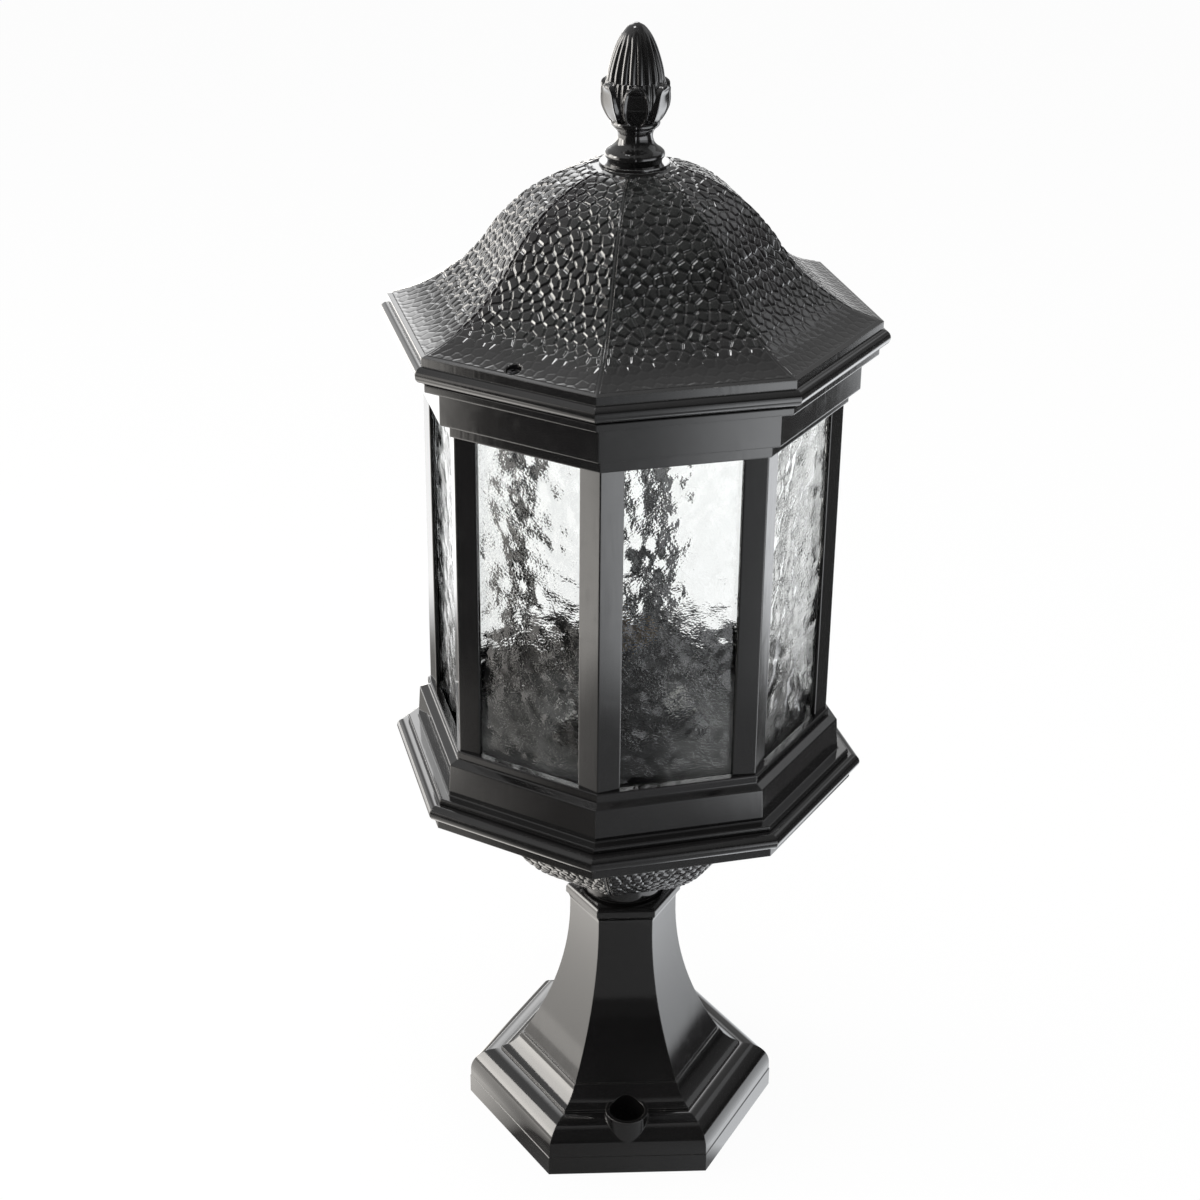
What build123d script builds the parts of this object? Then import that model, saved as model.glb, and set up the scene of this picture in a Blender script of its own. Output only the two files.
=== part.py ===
from build123d import *
import math
import os

# A pillar light: a hexagonal cast pedestal carries an eight-sided glazed lantern with a lift-off domed roof.
# Millimetres, +Z up, origin in the middle of the pedestal's foot, one pedestal face towards -Y.
os.makedirs("parts", exist_ok=True)

# Arrangement
LANTERN_SIDES = 8
PEDESTAL_SIDES = 6
HEAD_TURN = 11.6  # degrees by which the lantern stands turned on its stem
EDGE_ROUND = 0.6  # rounding of the cast mouldings' edges
THREAD_GAP = 0.1  # radial room between a screw and its tapped hole
CLEARANCE = 0.3  # radial room between a shank and its clearance hole
OVERCUT = 1.0  # how far a cut runs past the face that it opens

# Pedestal
PEDESTAL_HEIGHT = 119.5
FOOT_APOTHEM = 63.5
SKIRT_HEIGHT = 13.0
SEAM_HEIGHT = 9.7
SEAM_STEP = 0.3
SHOULDER_RADIUS = 12.0
COVE_STEP = 1.2
COVE_INSET = 1.0
COVE_WIDTH = 8.7
COVE_HEIGHT = 8.3
COVE_SAG = 1.2
QUIRK_WIDTH = 0.9
QUIRK_HEIGHT = 1.1
NECK_APOTHEM = 21.5
NECK_LENGTH = 3.0
LIP_OUT = 1.7
LIP_FLARE_HEIGHT = 4.0
LIP_ROUND = 2.0
LIP_HEIGHT = 4.5
PEDESTAL_WALL = 3.5
PEDESTAL_TOP_PLATE = 8.0
FIXING_COUNT = 2
FIXING_CIRCLE_RADIUS = 52.6
FIXING_BOSS_RADIUS = 10.0
FIXING_BOSS_HEIGHT = 28.0
FIXING_COUNTERBORE_RADIUS = 8.2
FIXING_FLOOR = 10.0
FIXING_HOLE_RADIUS = 3.5

# Stem and neck
STEM_RADIUS = 8.0
STEM_BORE_RADIUS = 6.0
STEM_SPARE = 5.0  # thread standing past each nut
STEM_NUT_HEIGHT = 9.0
STEM_NUT_FLATS = 24.0
STEM_WASHER_RADIUS = 14.0
STEM_WASHER_HEIGHT = 2.0
NECK_GASKET_HEIGHT = 1.0
NECK_GASKET_RADIUS = 18.5
COLLAR_RADIUS = 19.5
COLLAR_HEIGHT = 8.5

# Lantern body, measured to the flats of the posts
BODY_APOTHEM = 82.8
POST_HEIGHT = 145.0
POST_WING = 10.0
POST_WALL = 2.5
POST_DRAFT = 0.7  # how far a wing's free edge stands back from the lantern's flat
POST_PORT_RADIUS = 3.4
POST_PORT_MERGE = 0.8
POST_SCREW_RADIUS = 1.5
POST_SCREW_BITE = 15.0
SCREW_HEAD_HEIGHT = 2.2
SCREW_HEAD_OVERHANG = 1.3

# Panes and the grooves that hold them
GLASS_THICKNESS = 3.0
GLASS_GAP = 0.3
GLASS_LAP = 3.2  # width of pane behind each post wing
GLASS_LIFT = 2.5  # room above a pane in the cornice groove
SILL_GROOVE_DEPTH = 7.0
CORNICE_GROOVE_DEPTH = 8.0
GROOVE_LIP = 3.0
SILL_LIP_DROP = 3.0

# Bowl tray
TRAY_FOOT_APOTHEM = 19.5
BOWL_DEPTH = 57.5
BOWL_WAIST_APOTHEM = 54.0
BOWL_WAIST_DEPTH = 29.5
BOWL_EAVE_SLOPE = 15.0
TRAY_LIP_OUT = 11.2
TRAY_LIP_HEIGHT = 4.5
TRAY_BEAD_OUT = 15.1
TRAY_BEAD_HEIGHT = 7.0
TRAY_WALL = 3.5
TRAY_RIM = 12.0
TRAY_LUG_WIDTH = 12.0
TRAY_LUG_HEIGHT = 11.0
TRAY_SCREW_RADIUS = 2.0
TRAY_SCREW_BITE = 9.0

# Sill
SILL_FLANGE_OUT = 10.1
SILL_FLANGE_HEIGHT = 2.7
SILL_FASCIA_OUT = 5.6
SILL_FASCIA_HEIGHT = 14.8
SILL_FASCIA_BATTER = 0.9
SILL_LEDGE_HEIGHT = 1.5
SILL_UPSTAND_OUT = 1.2
SILL_UPSTAND_HEIGHT = 4.0
SILL_SHELF_WIDTH = 8.0
SILL_SHELF_HEIGHT = 6.0

# Cornice
CORNICE_STEP_OUT = 1.6
CORNICE_STEP_HEIGHT = 6.0
CORNICE_FASCIA_OUT = 5.9
CORNICE_FASCIA_HEIGHT = 15.6
CORNICE_BAND_OUT = 12.2
CORNICE_BAND_HEIGHT = 3.4
CORNICE_WEB = 6.0
CORNICE_WALL = 4.5
CORNICE_RIM_HEIGHT = 4.0  # weather rim that stands up inside the roof
CORNICE_RIM_WALL = 2.5

# Roof
ROOF_GASKET_HEIGHT = 1.0
ROOF_BEAD_OUT = 16.2
ROOF_BEAD_HEIGHT = 7.0
ROOF_LIP_OUT = 13.2
ROOF_LIP_HEIGHT = 3.5
DOME_HEIGHT = 60.5
DOME_WAIST_APOTHEM = 55.4
DOME_WAIST_HEIGHT = 30.5
DOME_EAVE_SLOPE = 15.0
CROWN_APOTHEM = 13.9
CROWN_BOSS_RADIUS = 14.4
CROWN_BOSS_HEIGHT = 1.5
ROOF_WALL = 3.0
ROOF_SEAT_ROOM = 1.0
ROOF_SCREW_COUNT = 2
ROOF_SCREW_RADIUS = 1.5
ROOF_SCREW_INSET = 4.8  # from the lip's edge to the screw's axis
ROOF_SCREW_SINK = 1.0
ROOF_SCREW_STOP = 0.6  # thread left below the screw's end

# Finial
FINIAL_RING_RADIUS = 12.3
FINIAL_RING_HEIGHT = 5.4
FINIAL_RING_BULGE = 1.0
FINIAL_NECK_RADIUS = 7.4
FINIAL_NECK_HEIGHT = 9.0
FINIAL_COLLAR_RADIUS = 9.9
FINIAL_COLLAR_HEIGHT = 3.2
FINIAL_COLLAR_STEP = 1.0
FINIAL_CUP_RADIUS = 14.2
FINIAL_CUP_HEIGHT = 15.4
FINIAL_ACORN_RADIUS = 12.2
FINIAL_ACORN_HEIGHT = 22.5
FINIAL_TIP_PULL = 5.0
FINIAL_ACORN_RISE = 9.0  # height over which the acorn's side stays upright
FINIAL_CUP_PULL = 4.0
FINIAL_SCREW_RADIUS = 2.0
FINIAL_SCREW_BITE = 10.0
FINIAL_WASHER_RADIUS = 6.0
FINIAL_WASHER_HEIGHT = 1.2

# Gear plate and wiring
PLATE_THICKNESS = 1.5
PLATE_ROOM = 0.5
PLATE_HOLE_RADIUS = 13.0
PLATE_SCREW_RADIUS = 1.5
PLATE_SCREW_BITE = 4.0
BLOCK_LENGTH = 52.0
BLOCK_WIDTH = 16.0
BLOCK_HEIGHT = 14.0
BLOCK_CENTRE_Y = 40.0
BLOCK_SCREW_SPACING = 28.0
BLOCK_SCREW_BITE = 6.0
TERMINAL_SCREW_RADIUS = 1.3
TERMINAL_SCREW_BITE = 4.0
LEAD_RADIUS = 1.3
LEAD_DROP = 7.0  # below the gear plate
LEAD_BEND = 7.0
LEAD_OFFSET = 8.0
EARTH_OFFSET = 20.0
EARTH_CENTRE_Y = 17.0
TERMINAL_SIZE = 7.0

# Lampholder for an E27 lamp cap
SOCKET_BORE_RADIUS = 13.3
SOCKET_DEPTH = 27.0
SHELL_WALL = 0.7
SHELL_CUP_RADIUS = 10.5
SHELL_CUP_HEIGHT = 8.0
HOLDER_BORE_ROOM = 0.3
HOLDER_WALL = 3.6
HOLDER_RIM = 3.0
HOLDER_BASE_RADIUS = 21.0
HOLDER_BASE_HEIGHT = 21.0
HOLDER_TAPER = 3.0
HOLDER_CAVITY_RADIUS = 15.5
HOLDER_CAVITY_HEIGHT = 11.0
HOLDER_WEB = 6.0
EAR_CENTRE = 26.0
EAR_RADIUS = 7.0
EAR_HEIGHT = 5.0
HOLDER_SCREW_RADIUS = 2.0
HOLDER_SCREW_SPARE = 4.0
SHELL_FLOOR_HOLE_RADIUS = 6.0
CONTACT_RADIUS = 4.5
CONTACT_HEIGHT = 2.0
CONTACT_STEM_RADIUS = 1.4
CONTACT_STOP_RADIUS = 2.4
CONTACT_STOP_HEIGHT = 1.2
CONTACT_SPRING_LENGTH = 5.0
CONTACT_SPRING_RADIUS = 3.2
CONTACT_SPRING_WALL = 1.2

# Heights of the stacked pieces
gasket_foot = PEDESTAL_HEIGHT
collar_foot = gasket_foot + NECK_GASKET_HEIGHT
tray_foot = collar_foot + COLLAR_HEIGHT
tray_eave = tray_foot + BOWL_DEPTH
tray_bead_foot = tray_eave + TRAY_LIP_HEIGHT
sill_foot = tray_bead_foot + TRAY_BEAD_HEIGHT
sill_fascia_foot = sill_foot + SILL_FLANGE_HEIGHT
sill_ledge_foot = sill_fascia_foot + SILL_FASCIA_HEIGHT
sill_upstand_foot = sill_ledge_foot + SILL_LEDGE_HEIGHT
post_foot = sill_upstand_foot + SILL_UPSTAND_HEIGHT
post_head = post_foot + POST_HEIGHT
cornice_fascia_foot = post_head + CORNICE_STEP_HEIGHT
cornice_band_foot = cornice_fascia_foot + CORNICE_FASCIA_HEIGHT
cornice_top = cornice_band_foot + CORNICE_BAND_HEIGHT
roof_foot = cornice_top + ROOF_GASKET_HEIGHT
roof_lip_foot = roof_foot + ROOF_BEAD_HEIGHT
roof_eave = roof_lip_foot + ROOF_LIP_HEIGHT
dome_top = roof_eave + DOME_HEIGHT
finial_foot = dome_top + CROWN_BOSS_HEIGHT
shelf_top = sill_foot + SILL_SHELF_HEIGHT
plate_top = shelf_top + PLATE_THICKNESS
web_foot = plate_top + HOLDER_CAVITY_HEIGHT
web_top = web_foot + HOLDER_WEB
cornice_web_foot = post_head + CORNICE_GROOVE_DEPTH
cornice_web_top = cornice_web_foot + CORNICE_WEB

# Widths that several pieces share
glass_outer = BODY_APOTHEM - POST_WALL - GLASS_GAP
glass_inner = glass_outer - GLASS_THICKNESS
groove_outer = glass_outer + GLASS_GAP
groove_inner = glass_inner - GLASS_GAP
frame_inner = groove_inner - GROOVE_LIP
shelf_inner = frame_inner - SILL_SHELF_WIDTH
shelf_middle = (frame_inner + shelf_inner) / 2
cornice_rim_outer = BODY_APOTHEM + CORNICE_FASCIA_OUT - ROOF_SEAT_ROOM
roof_seat = cornice_rim_outer + ROOF_SEAT_ROOM
roof_screw_apothem = BODY_APOTHEM + ROOF_LIP_OUT - ROOF_SCREW_INSET
half_turn = math.pi / LANTERN_SIDES
flat_angles = [360 / LANTERN_SIDES * k for k in range(LANTERN_SIDES)]
corner_angles = [angle + 180 / LANTERN_SIDES for angle in flat_angles]
post_port_circle = (BODY_APOTHEM - POST_WALL) / math.cos(half_turn)
post_port_circle -= (POST_PORT_RADIUS - POST_PORT_MERGE) / math.cos(half_turn)
REACH = 2 * (BODY_APOTHEM + FOOT_APOTHEM)


def save(name, shape):
    """Write one node."""
    export_step(shape, f"parts/{name}.step")


def save_head(name, shape):
    """Write one node of the lantern, turned on the stem as it stands."""
    save(name, Rot(0, 0, HEAD_TURN) * shape)


def group(shapes):
    """Separate equal solids that share a node."""
    return Compound(list(shapes))


def around(shape, angles):
    """Copies of a shape turned about the Z axis."""
    return [Rot(0, 0, angle) * shape for angle in angles]


def faceted(edges, sides):
    """Many-sided solid whose flats follow a half profile of (apothem, height) edges, axis to axis."""
    span = Compound(list(edges)).bounding_box()
    low = span.min.Y
    high = span.max.Y
    outline = make_face([*edges, Line((0, low), (0, high))])
    slab = extrude(Plane.XZ * outline, REACH, both=True)
    half_width = REACH * math.tan(math.pi / sides)
    wedge_plan = make_face(Polyline((0, 0), (REACH, -half_width), (REACH, half_width), close=True))
    sector = slab & (Pos(0, 0, low - OVERCUT) * extrude(wedge_plan, high - low + 2 * OVERCUT))
    turns = [360 / sides * k for k in range(1, sides)]
    return sector + around(sector, turns)


def prism(apothem, low, high, sides=LANTERN_SIDES):
    """Plain many-sided prism with a flat towards +X."""
    radius = apothem / math.cos(math.pi / sides)
    turns = [2 * math.pi * (k + 0.5) / sides for k in range(sides)]
    corners = [(radius * math.cos(turn), radius * math.sin(turn)) for turn in turns]
    return Pos(0, 0, low) * extrude(make_face(Polyline(*corners, close=True)), high - low)


def pin(radius, low, high):
    """Upright cylinder between two heights."""
    return Pos(0, 0, low) * Cylinder(radius, high - low, align=(Align.CENTER, Align.CENTER, Align.MIN))


def ring(outer, inner, low, high):
    """Upright tube between two heights."""
    return pin(outer, low, high) - pin(inner, low - OVERCUT, high + OVERCUT)


def hex_nut(flats, bore, low, high):
    """Hexagon nut."""
    return prism(flats / 2, low, high, PEDESTAL_SIDES) - pin(bore, low - OVERCUT, high + OVERCUT)


def screw(radius, length):
    """Pan-head screw with a cross recess, its seat at height 0 and its shank downwards."""
    head_radius = radius + SCREW_HEAD_OVERHANG
    head = pin(head_radius, 0, SCREW_HEAD_HEIGHT)
    head = fillet(head.edges().sort_by(Axis.Z)[-1], SCREW_HEAD_HEIGHT / 2)
    bar = Box(2 * radius, radius / 2, SCREW_HEAD_HEIGHT)
    slot = Pos(0, 0, SCREW_HEAD_HEIGHT) * (bar + Rot(0, 0, 90) * bar)
    return head + pin(radius, -length, 0) - slot


def countersunk(radius, length):
    """Flat-head screw with its top at height 0 and its shank downwards."""
    head_radius = radius + SCREW_HEAD_OVERHANG
    cone = Pos(0, 0, -SCREW_HEAD_OVERHANG) * Cone(
        radius, head_radius, SCREW_HEAD_OVERHANG, align=(Align.CENTER, Align.CENTER, Align.MIN))
    return cone + pin(radius, -length, -SCREW_HEAD_OVERHANG)


def ogee(eave, slope, waist, crown, rise):
    """Two tangent arcs from the eave in to the crown; rise is 1 for a roof and -1 for a bowl."""
    leave = (-math.cos(math.radians(slope)), rise * math.sin(math.radians(slope)))
    lower = TangentArc(eave, waist, tangent=leave)
    upper = TangentArc(waist, crown, tangent=lower % 1)
    return lower, upper


def inset(edge, wall, side=1):
    """Arc parallel to a profile arc, one wall inside it; side is 1 where inside is left of its run."""
    points = []
    for share in (0, 0.5, 1):
        run = edge % share
        points.append((edge @ share) + Vector(-run.Y, run.X) * wall * side)
    return ThreePointArc(*points)


def nose(apothem, foot, height):
    """Half-round bead profile standing on a height."""
    radius = height / 2
    root = apothem - radius
    return ThreePointArc((root, foot), (apothem, foot + radius), (root, foot + height))


def chain(*points):
    """Straight profile lines through points."""
    return [Line(a, b) for a, b in zip(points, points[1:])]


def lead(points):
    """Insulated wire along a bent route."""
    path = FilletPolyline(*points, radius=LEAD_BEND)
    start = Plane(path @ 0, z_dir=path % 0)
    return sweep(start * Circle(LEAD_RADIUS), path=path)


# Pedestal casting
shoulder_top = SKIRT_HEIGHT + SHOULDER_RADIUS
skirt_apothem = FOOT_APOTHEM - SEAM_STEP
shoulder_inner = skirt_apothem - SHOULDER_RADIUS
cove_foot = (shoulder_inner - COVE_INSET, shoulder_top + COVE_STEP)
cove_head = (cove_foot[0] - COVE_WIDTH, cove_foot[1] + COVE_HEIGHT)
quirk_foot = (cove_head[0] - QUIRK_WIDTH, cove_head[1])
flare_foot = (quirk_foot[0], quirk_foot[1] + QUIRK_HEIGHT)
lip_foot = PEDESTAL_HEIGHT - LIP_HEIGHT
neck_top = lip_foot - LIP_FLARE_HEIGHT
flare_head = (NECK_APOTHEM, neck_top - NECK_LENGTH)
lip_apothem = NECK_APOTHEM + LIP_OUT
bend = math.cos(math.pi / 4)
shoulder = ThreePointArc(
    (skirt_apothem, SKIRT_HEIGHT),
    (shoulder_inner + SHOULDER_RADIUS * bend, SKIRT_HEIGHT + SHOULDER_RADIUS * bend),
    (shoulder_inner, shoulder_top))
cove_chord = Line(cove_foot, cove_head)
cove = ThreePointArc(cove_foot, (cove_chord @ 0.5) - Vector(bend, bend) * COVE_SAG, cove_head)
flare = TangentArc(flare_head, flare_foot, tangent=(0, -1))
lip_flare = TangentArc((NECK_APOTHEM, neck_top), (lip_apothem, lip_foot), tangent=(0, 1))
lip_round = ThreePointArc(
    (lip_apothem, PEDESTAL_HEIGHT - LIP_ROUND),
    (lip_apothem - LIP_ROUND * (1 - bend), PEDESTAL_HEIGHT - LIP_ROUND * (1 - bend)),
    (lip_apothem - LIP_ROUND, PEDESTAL_HEIGHT))
pedestal_profile = chain((0, 0), (FOOT_APOTHEM, 0), (FOOT_APOTHEM, SEAM_HEIGHT - SEAM_STEP))
seam_foot = pedestal_profile[-1] @ 1
pedestal_profile += chain(seam_foot, (skirt_apothem, SEAM_HEIGHT), (skirt_apothem, SKIRT_HEIGHT))
pedestal_profile += [shoulder, *chain(shoulder @ 1, (cove_foot[0], shoulder_top), cove_foot), cove]
pedestal_profile += [*chain(cove_head, quirk_foot, flare_foot), flare]
pedestal_profile += [*chain(flare_head, (NECK_APOTHEM, neck_top)), lip_flare]
pedestal_profile += [*chain(lip_flare @ 1, lip_round @ 0), lip_round]
pedestal_profile += chain(lip_round @ 1, (0, PEDESTAL_HEIGHT))
shoulder_in = inset(shoulder, PEDESTAL_WALL)
cove_in = inset(cove, PEDESTAL_WALL)
flare_in = inset(flare, PEDESTAL_WALL, -1)
ceiling = PEDESTAL_HEIGHT - PEDESTAL_TOP_PLATE
hollow_profile = chain((0, -OVERCUT), (skirt_apothem - PEDESTAL_WALL, -OVERCUT), shoulder_in @ 0)
hollow_profile += [shoulder_in, *chain(shoulder_in @ 1, cove_in @ 0), cove_in]
hollow_profile += [*chain(cove_in @ 1, flare_in @ 1), flare_in]
hollow_profile += chain(flare_in @ 0, ((flare_in @ 0).X, ceiling), (0, ceiling))
fixing_angles = [360 / FIXING_COUNT * k for k in range(FIXING_COUNT)]
boss = Pos(FIXING_CIRCLE_RADIUS, 0, 0) * pin(FIXING_BOSS_RADIUS, 0, FIXING_BOSS_HEIGHT)
tool_way = pin(FIXING_COUNTERBORE_RADIUS, FIXING_FLOOR, PEDESTAL_HEIGHT / 2)
tool_way += pin(FIXING_HOLE_RADIUS, -OVERCUT, FIXING_FLOOR + OVERCUT)
pedestal = faceted(pedestal_profile, PEDESTAL_SIDES) - faceted(hollow_profile, PEDESTAL_SIDES)
for turned_boss in around(boss, fixing_angles):
    pedestal += turned_boss
for turned_way in around(Pos(FIXING_CIRCLE_RADIUS, 0, 0) * tool_way, fixing_angles):
    pedestal -= turned_way
pedestal -= pin(STEM_RADIUS + THREAD_GAP, ceiling - OVERCUT, PEDESTAL_HEIGHT + OVERCUT)
save("pedestal", Rot(0, 0, -90) * pedestal)

# Stem tube with its nuts and washers, the neck gasket and the collar
bowl = ogee(
    (BODY_APOTHEM + TRAY_LIP_OUT, tray_eave), BOWL_EAVE_SLOPE,
    (BOWL_WAIST_APOTHEM, tray_eave - BOWL_WAIST_DEPTH), (TRAY_FOOT_APOTHEM, tray_foot), -1)
bowl_in = [inset(edge, TRAY_WALL, -1) for edge in bowl]
tray_floor = (bowl_in[1] @ 1).Y
lower_nut_top = ceiling - STEM_WASHER_HEIGHT
upper_nut_foot = tray_floor + STEM_WASHER_HEIGHT
stem_foot = lower_nut_top - STEM_NUT_HEIGHT - STEM_SPARE
stem_head = upper_nut_foot + STEM_NUT_HEIGHT + STEM_SPARE
stem_hole = STEM_RADIUS + CLEARANCE
save("stem_tube", ring(STEM_RADIUS, STEM_BORE_RADIUS, stem_foot, stem_head))
save("stem_lower_washer", ring(STEM_WASHER_RADIUS, stem_hole, lower_nut_top, ceiling))
save("stem_upper_washer", ring(STEM_WASHER_RADIUS, stem_hole, tray_floor, upper_nut_foot))
nut_bore = STEM_RADIUS + THREAD_GAP
save("stem_lower_nut", hex_nut(STEM_NUT_FLATS, nut_bore, lower_nut_top - STEM_NUT_HEIGHT, lower_nut_top))
save("stem_upper_nut", hex_nut(STEM_NUT_FLATS, nut_bore, upper_nut_foot, upper_nut_foot + STEM_NUT_HEIGHT))
save("neck_gasket", ring(NECK_GASKET_RADIUS, stem_hole, gasket_foot, collar_foot))
collar = ring(COLLAR_RADIUS, stem_hole, collar_foot, tray_foot)
collar = fillet(collar.edges().group_by(Axis.Z)[0].sort_by(SortBy.RADIUS)[-1], EDGE_ROUND)
save_head("neck_collar", collar)

# Bowl tray casting
tray_bead = nose(BODY_APOTHEM + TRAY_BEAD_OUT, tray_bead_foot, TRAY_BEAD_HEIGHT)
tray_lip_corner = (BODY_APOTHEM + TRAY_LIP_OUT, tray_bead_foot)
tray_profile = [*chain((0, tray_foot), bowl[1] @ 1), *bowl]
tray_profile += [*chain(bowl[0] @ 0, tray_lip_corner, tray_bead @ 0), tray_bead]
tray_profile += chain(tray_bead @ 1, (0, sill_foot))
tray_hollow = [*chain((0, tray_floor), bowl_in[1] @ 1), *bowl_in]
tray_hollow += chain(bowl_in[0] @ 0, ((bowl_in[0] @ 0).X, sill_foot + OVERCUT), (0, sill_foot + OVERCUT))
tray_body = faceted(tray_profile, LANTERN_SIDES)
tray_mouth = prism(BODY_APOTHEM + TRAY_BEAD_OUT - TRAY_RIM, tray_foot, sill_foot + 2 * OVERCUT)
tray = tray_body - (faceted(tray_hollow, LANTERN_SIDES) & tray_mouth)
lug_length = BODY_APOTHEM + TRAY_LIP_OUT - shelf_inner
lug = Pos(shelf_inner, 0, sill_foot) * Box(
    lug_length, TRAY_LUG_WIDTH, TRAY_LUG_HEIGHT, align=(Align.MIN, Align.CENTER, Align.MAX))
for turned_lug in around(lug, flat_angles[0::2]):
    tray += turned_lug & tray_body
lug_foot = sill_foot - TRAY_LUG_HEIGHT
tray_screw_hole = pin(TRAY_SCREW_RADIUS + THREAD_GAP, lug_foot - OVERCUT, shelf_top + OVERCUT)
tray_screw_holes = around(Pos(shelf_middle, 0, 0) * tray_screw_hole, flat_angles[0::2])
for hole in tray_screw_holes:
    tray -= hole
tray -= pin(stem_hole, tray_foot - OVERCUT, tray_floor + OVERCUT)
save_head("bowl_tray", tray)

# Sill frame
sill_fascia = BODY_APOTHEM + SILL_FASCIA_OUT
sill_upstand = BODY_APOTHEM + SILL_UPSTAND_OUT
sill_flange = BODY_APOTHEM + SILL_FLANGE_OUT
sill_outline = FilletPolyline(
    (0, sill_foot), (sill_flange, sill_foot), (sill_flange, sill_fascia_foot),
    (sill_fascia, sill_fascia_foot), (sill_fascia - SILL_FASCIA_BATTER, sill_ledge_foot),
    (sill_upstand, sill_upstand_foot), (sill_upstand, post_foot), (0, post_foot), radius=EDGE_ROUND)
groove_foot = post_foot - SILL_GROOVE_DEPTH
sill = faceted(sill_outline.edges(), LANTERN_SIDES)
sill -= prism(shelf_inner, sill_foot - OVERCUT, shelf_top + OVERCUT)
sill -= prism(frame_inner, shelf_top, post_foot + OVERCUT)
sill -= prism(groove_inner, post_foot - SILL_LIP_DROP, post_foot + OVERCUT)
groove_core = prism(groove_inner, groove_foot - OVERCUT, post_foot + 2 * OVERCUT)
sill -= prism(groove_outer, groove_foot, post_foot + OVERCUT) - groove_core
post_screw_hole = pin(POST_SCREW_RADIUS + CLEARANCE, sill_foot - OVERCUT, cornice_top + OVERCUT)
post_screw_holes = around(Pos(post_port_circle, 0, 0) * post_screw_hole, corner_angles)
head_room_radius = POST_SCREW_RADIUS + SCREW_HEAD_OVERHANG + CLEARANCE
head_room = pin(head_room_radius, sill_foot - OVERCUT, sill_foot + SCREW_HEAD_HEIGHT)
for hole in post_screw_holes + around(Pos(post_port_circle, 0, 0) * head_room, corner_angles):
    sill -= hole
sink = Pos(0, 0, shelf_top) * countersunk(TRAY_SCREW_RADIUS + THREAD_GAP, SILL_SHELF_HEIGHT + OVERCUT)
for hole in around(Pos(shelf_middle, 0, 0) * sink, flat_angles[0::2]):
    sill -= hole
tapped_foot = shelf_top - PLATE_SCREW_BITE - OVERCUT
plate_screw_hole = pin(PLATE_SCREW_RADIUS + THREAD_GAP, tapped_foot, plate_top + OVERCUT)
plate_screw_holes = around(Pos(shelf_middle, 0, 0) * plate_screw_hole, flat_angles[1::2])
for hole in plate_screw_holes:
    sill -= hole
save_head("sill_frame", sill)
tray_screw = Pos(0, 0, shelf_top) * countersunk(TRAY_SCREW_RADIUS, SILL_SHELF_HEIGHT + TRAY_SCREW_BITE)
save_head("tray_screws", group(around(Pos(shelf_middle, 0, 0) * tray_screw, flat_angles[0::2])))

# Corner posts: angle sections with a screw port inside the corner
half_side = BODY_APOTHEM * math.tan(half_turn)
inner_apothem = BODY_APOTHEM - POST_WALL
wing = make_face(Polyline(
    (BODY_APOTHEM - POST_DRAFT, half_side - POST_WING), (BODY_APOTHEM, half_side),
    (inner_apothem, inner_apothem * math.tan(half_turn)), (inner_apothem, half_side - POST_WING), close=True))
first_wing = Rot(0, 0, -math.degrees(half_turn)) * wing
port_place = Pos(post_port_circle, 0)
post_section = first_wing + mirror(first_wing, about=Plane.XZ) + port_place * Circle(POST_PORT_RADIUS)
post_section -= port_place * Circle(POST_SCREW_RADIUS + THREAD_GAP)
wing_ends = post_section.vertices().sort_by(Axis.Y)
post_corner = post_section.vertices().sort_by(Axis.X)[-1]
post_section = fillet([wing_ends[0], wing_ends[-1], post_corner], EDGE_ROUND)
post = Pos(0, 0, post_foot) * extrude(post_section, POST_HEIGHT)
for number, turned_post in enumerate(around(post, corner_angles), 1):
    save_head(f"corner_post_{number}", turned_post)

# Cornice frame
cornice_step = BODY_APOTHEM + CORNICE_STEP_OUT
cornice_fascia = BODY_APOTHEM + CORNICE_FASCIA_OUT
cornice_band = BODY_APOTHEM + CORNICE_BAND_OUT
cornice_outline = FilletPolyline(
    (0, post_head), (cornice_step, post_head), (cornice_step, cornice_fascia_foot),
    (cornice_fascia, cornice_fascia_foot), (cornice_fascia, cornice_band_foot),
    (cornice_band, cornice_band_foot), (cornice_band, cornice_top), (0, cornice_top), radius=EDGE_ROUND)
cornice = faceted(cornice_outline.edges(), LANTERN_SIDES)
cornice_rim_top = cornice_top + CORNICE_RIM_HEIGHT
cornice += prism(cornice_rim_outer, cornice_top - OVERCUT, cornice_rim_top)
cornice -= prism(frame_inner, post_head - OVERCUT, cornice_web_top + OVERCUT)
upper_core = prism(groove_inner, post_head - 2 * OVERCUT, cornice_web_foot + OVERCUT)
cornice -= prism(groove_outer, post_head - OVERCUT, cornice_web_foot) - upper_core
cornice -= prism(cornice_fascia - CORNICE_WALL, cornice_web_top, cornice_top)
rim_inner = cornice_rim_outer - CORNICE_RIM_WALL
cornice -= prism(rim_inner, cornice_top - OVERCUT, cornice_rim_top + OVERCUT)
for hole in post_screw_holes:
    cornice -= hole
roof_screw_angles = [225 + 360 / ROOF_SCREW_COUNT * k for k in range(ROOF_SCREW_COUNT)]
roof_tapped_hole = pin(ROOF_SCREW_RADIUS + THREAD_GAP, cornice_band_foot + ROOF_SCREW_STOP / 2, roof_foot)
for hole in around(Pos(roof_screw_apothem, 0, 0) * roof_tapped_hole, roof_screw_angles):
    cornice -= hole
save_head("cornice_frame", cornice)

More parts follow.
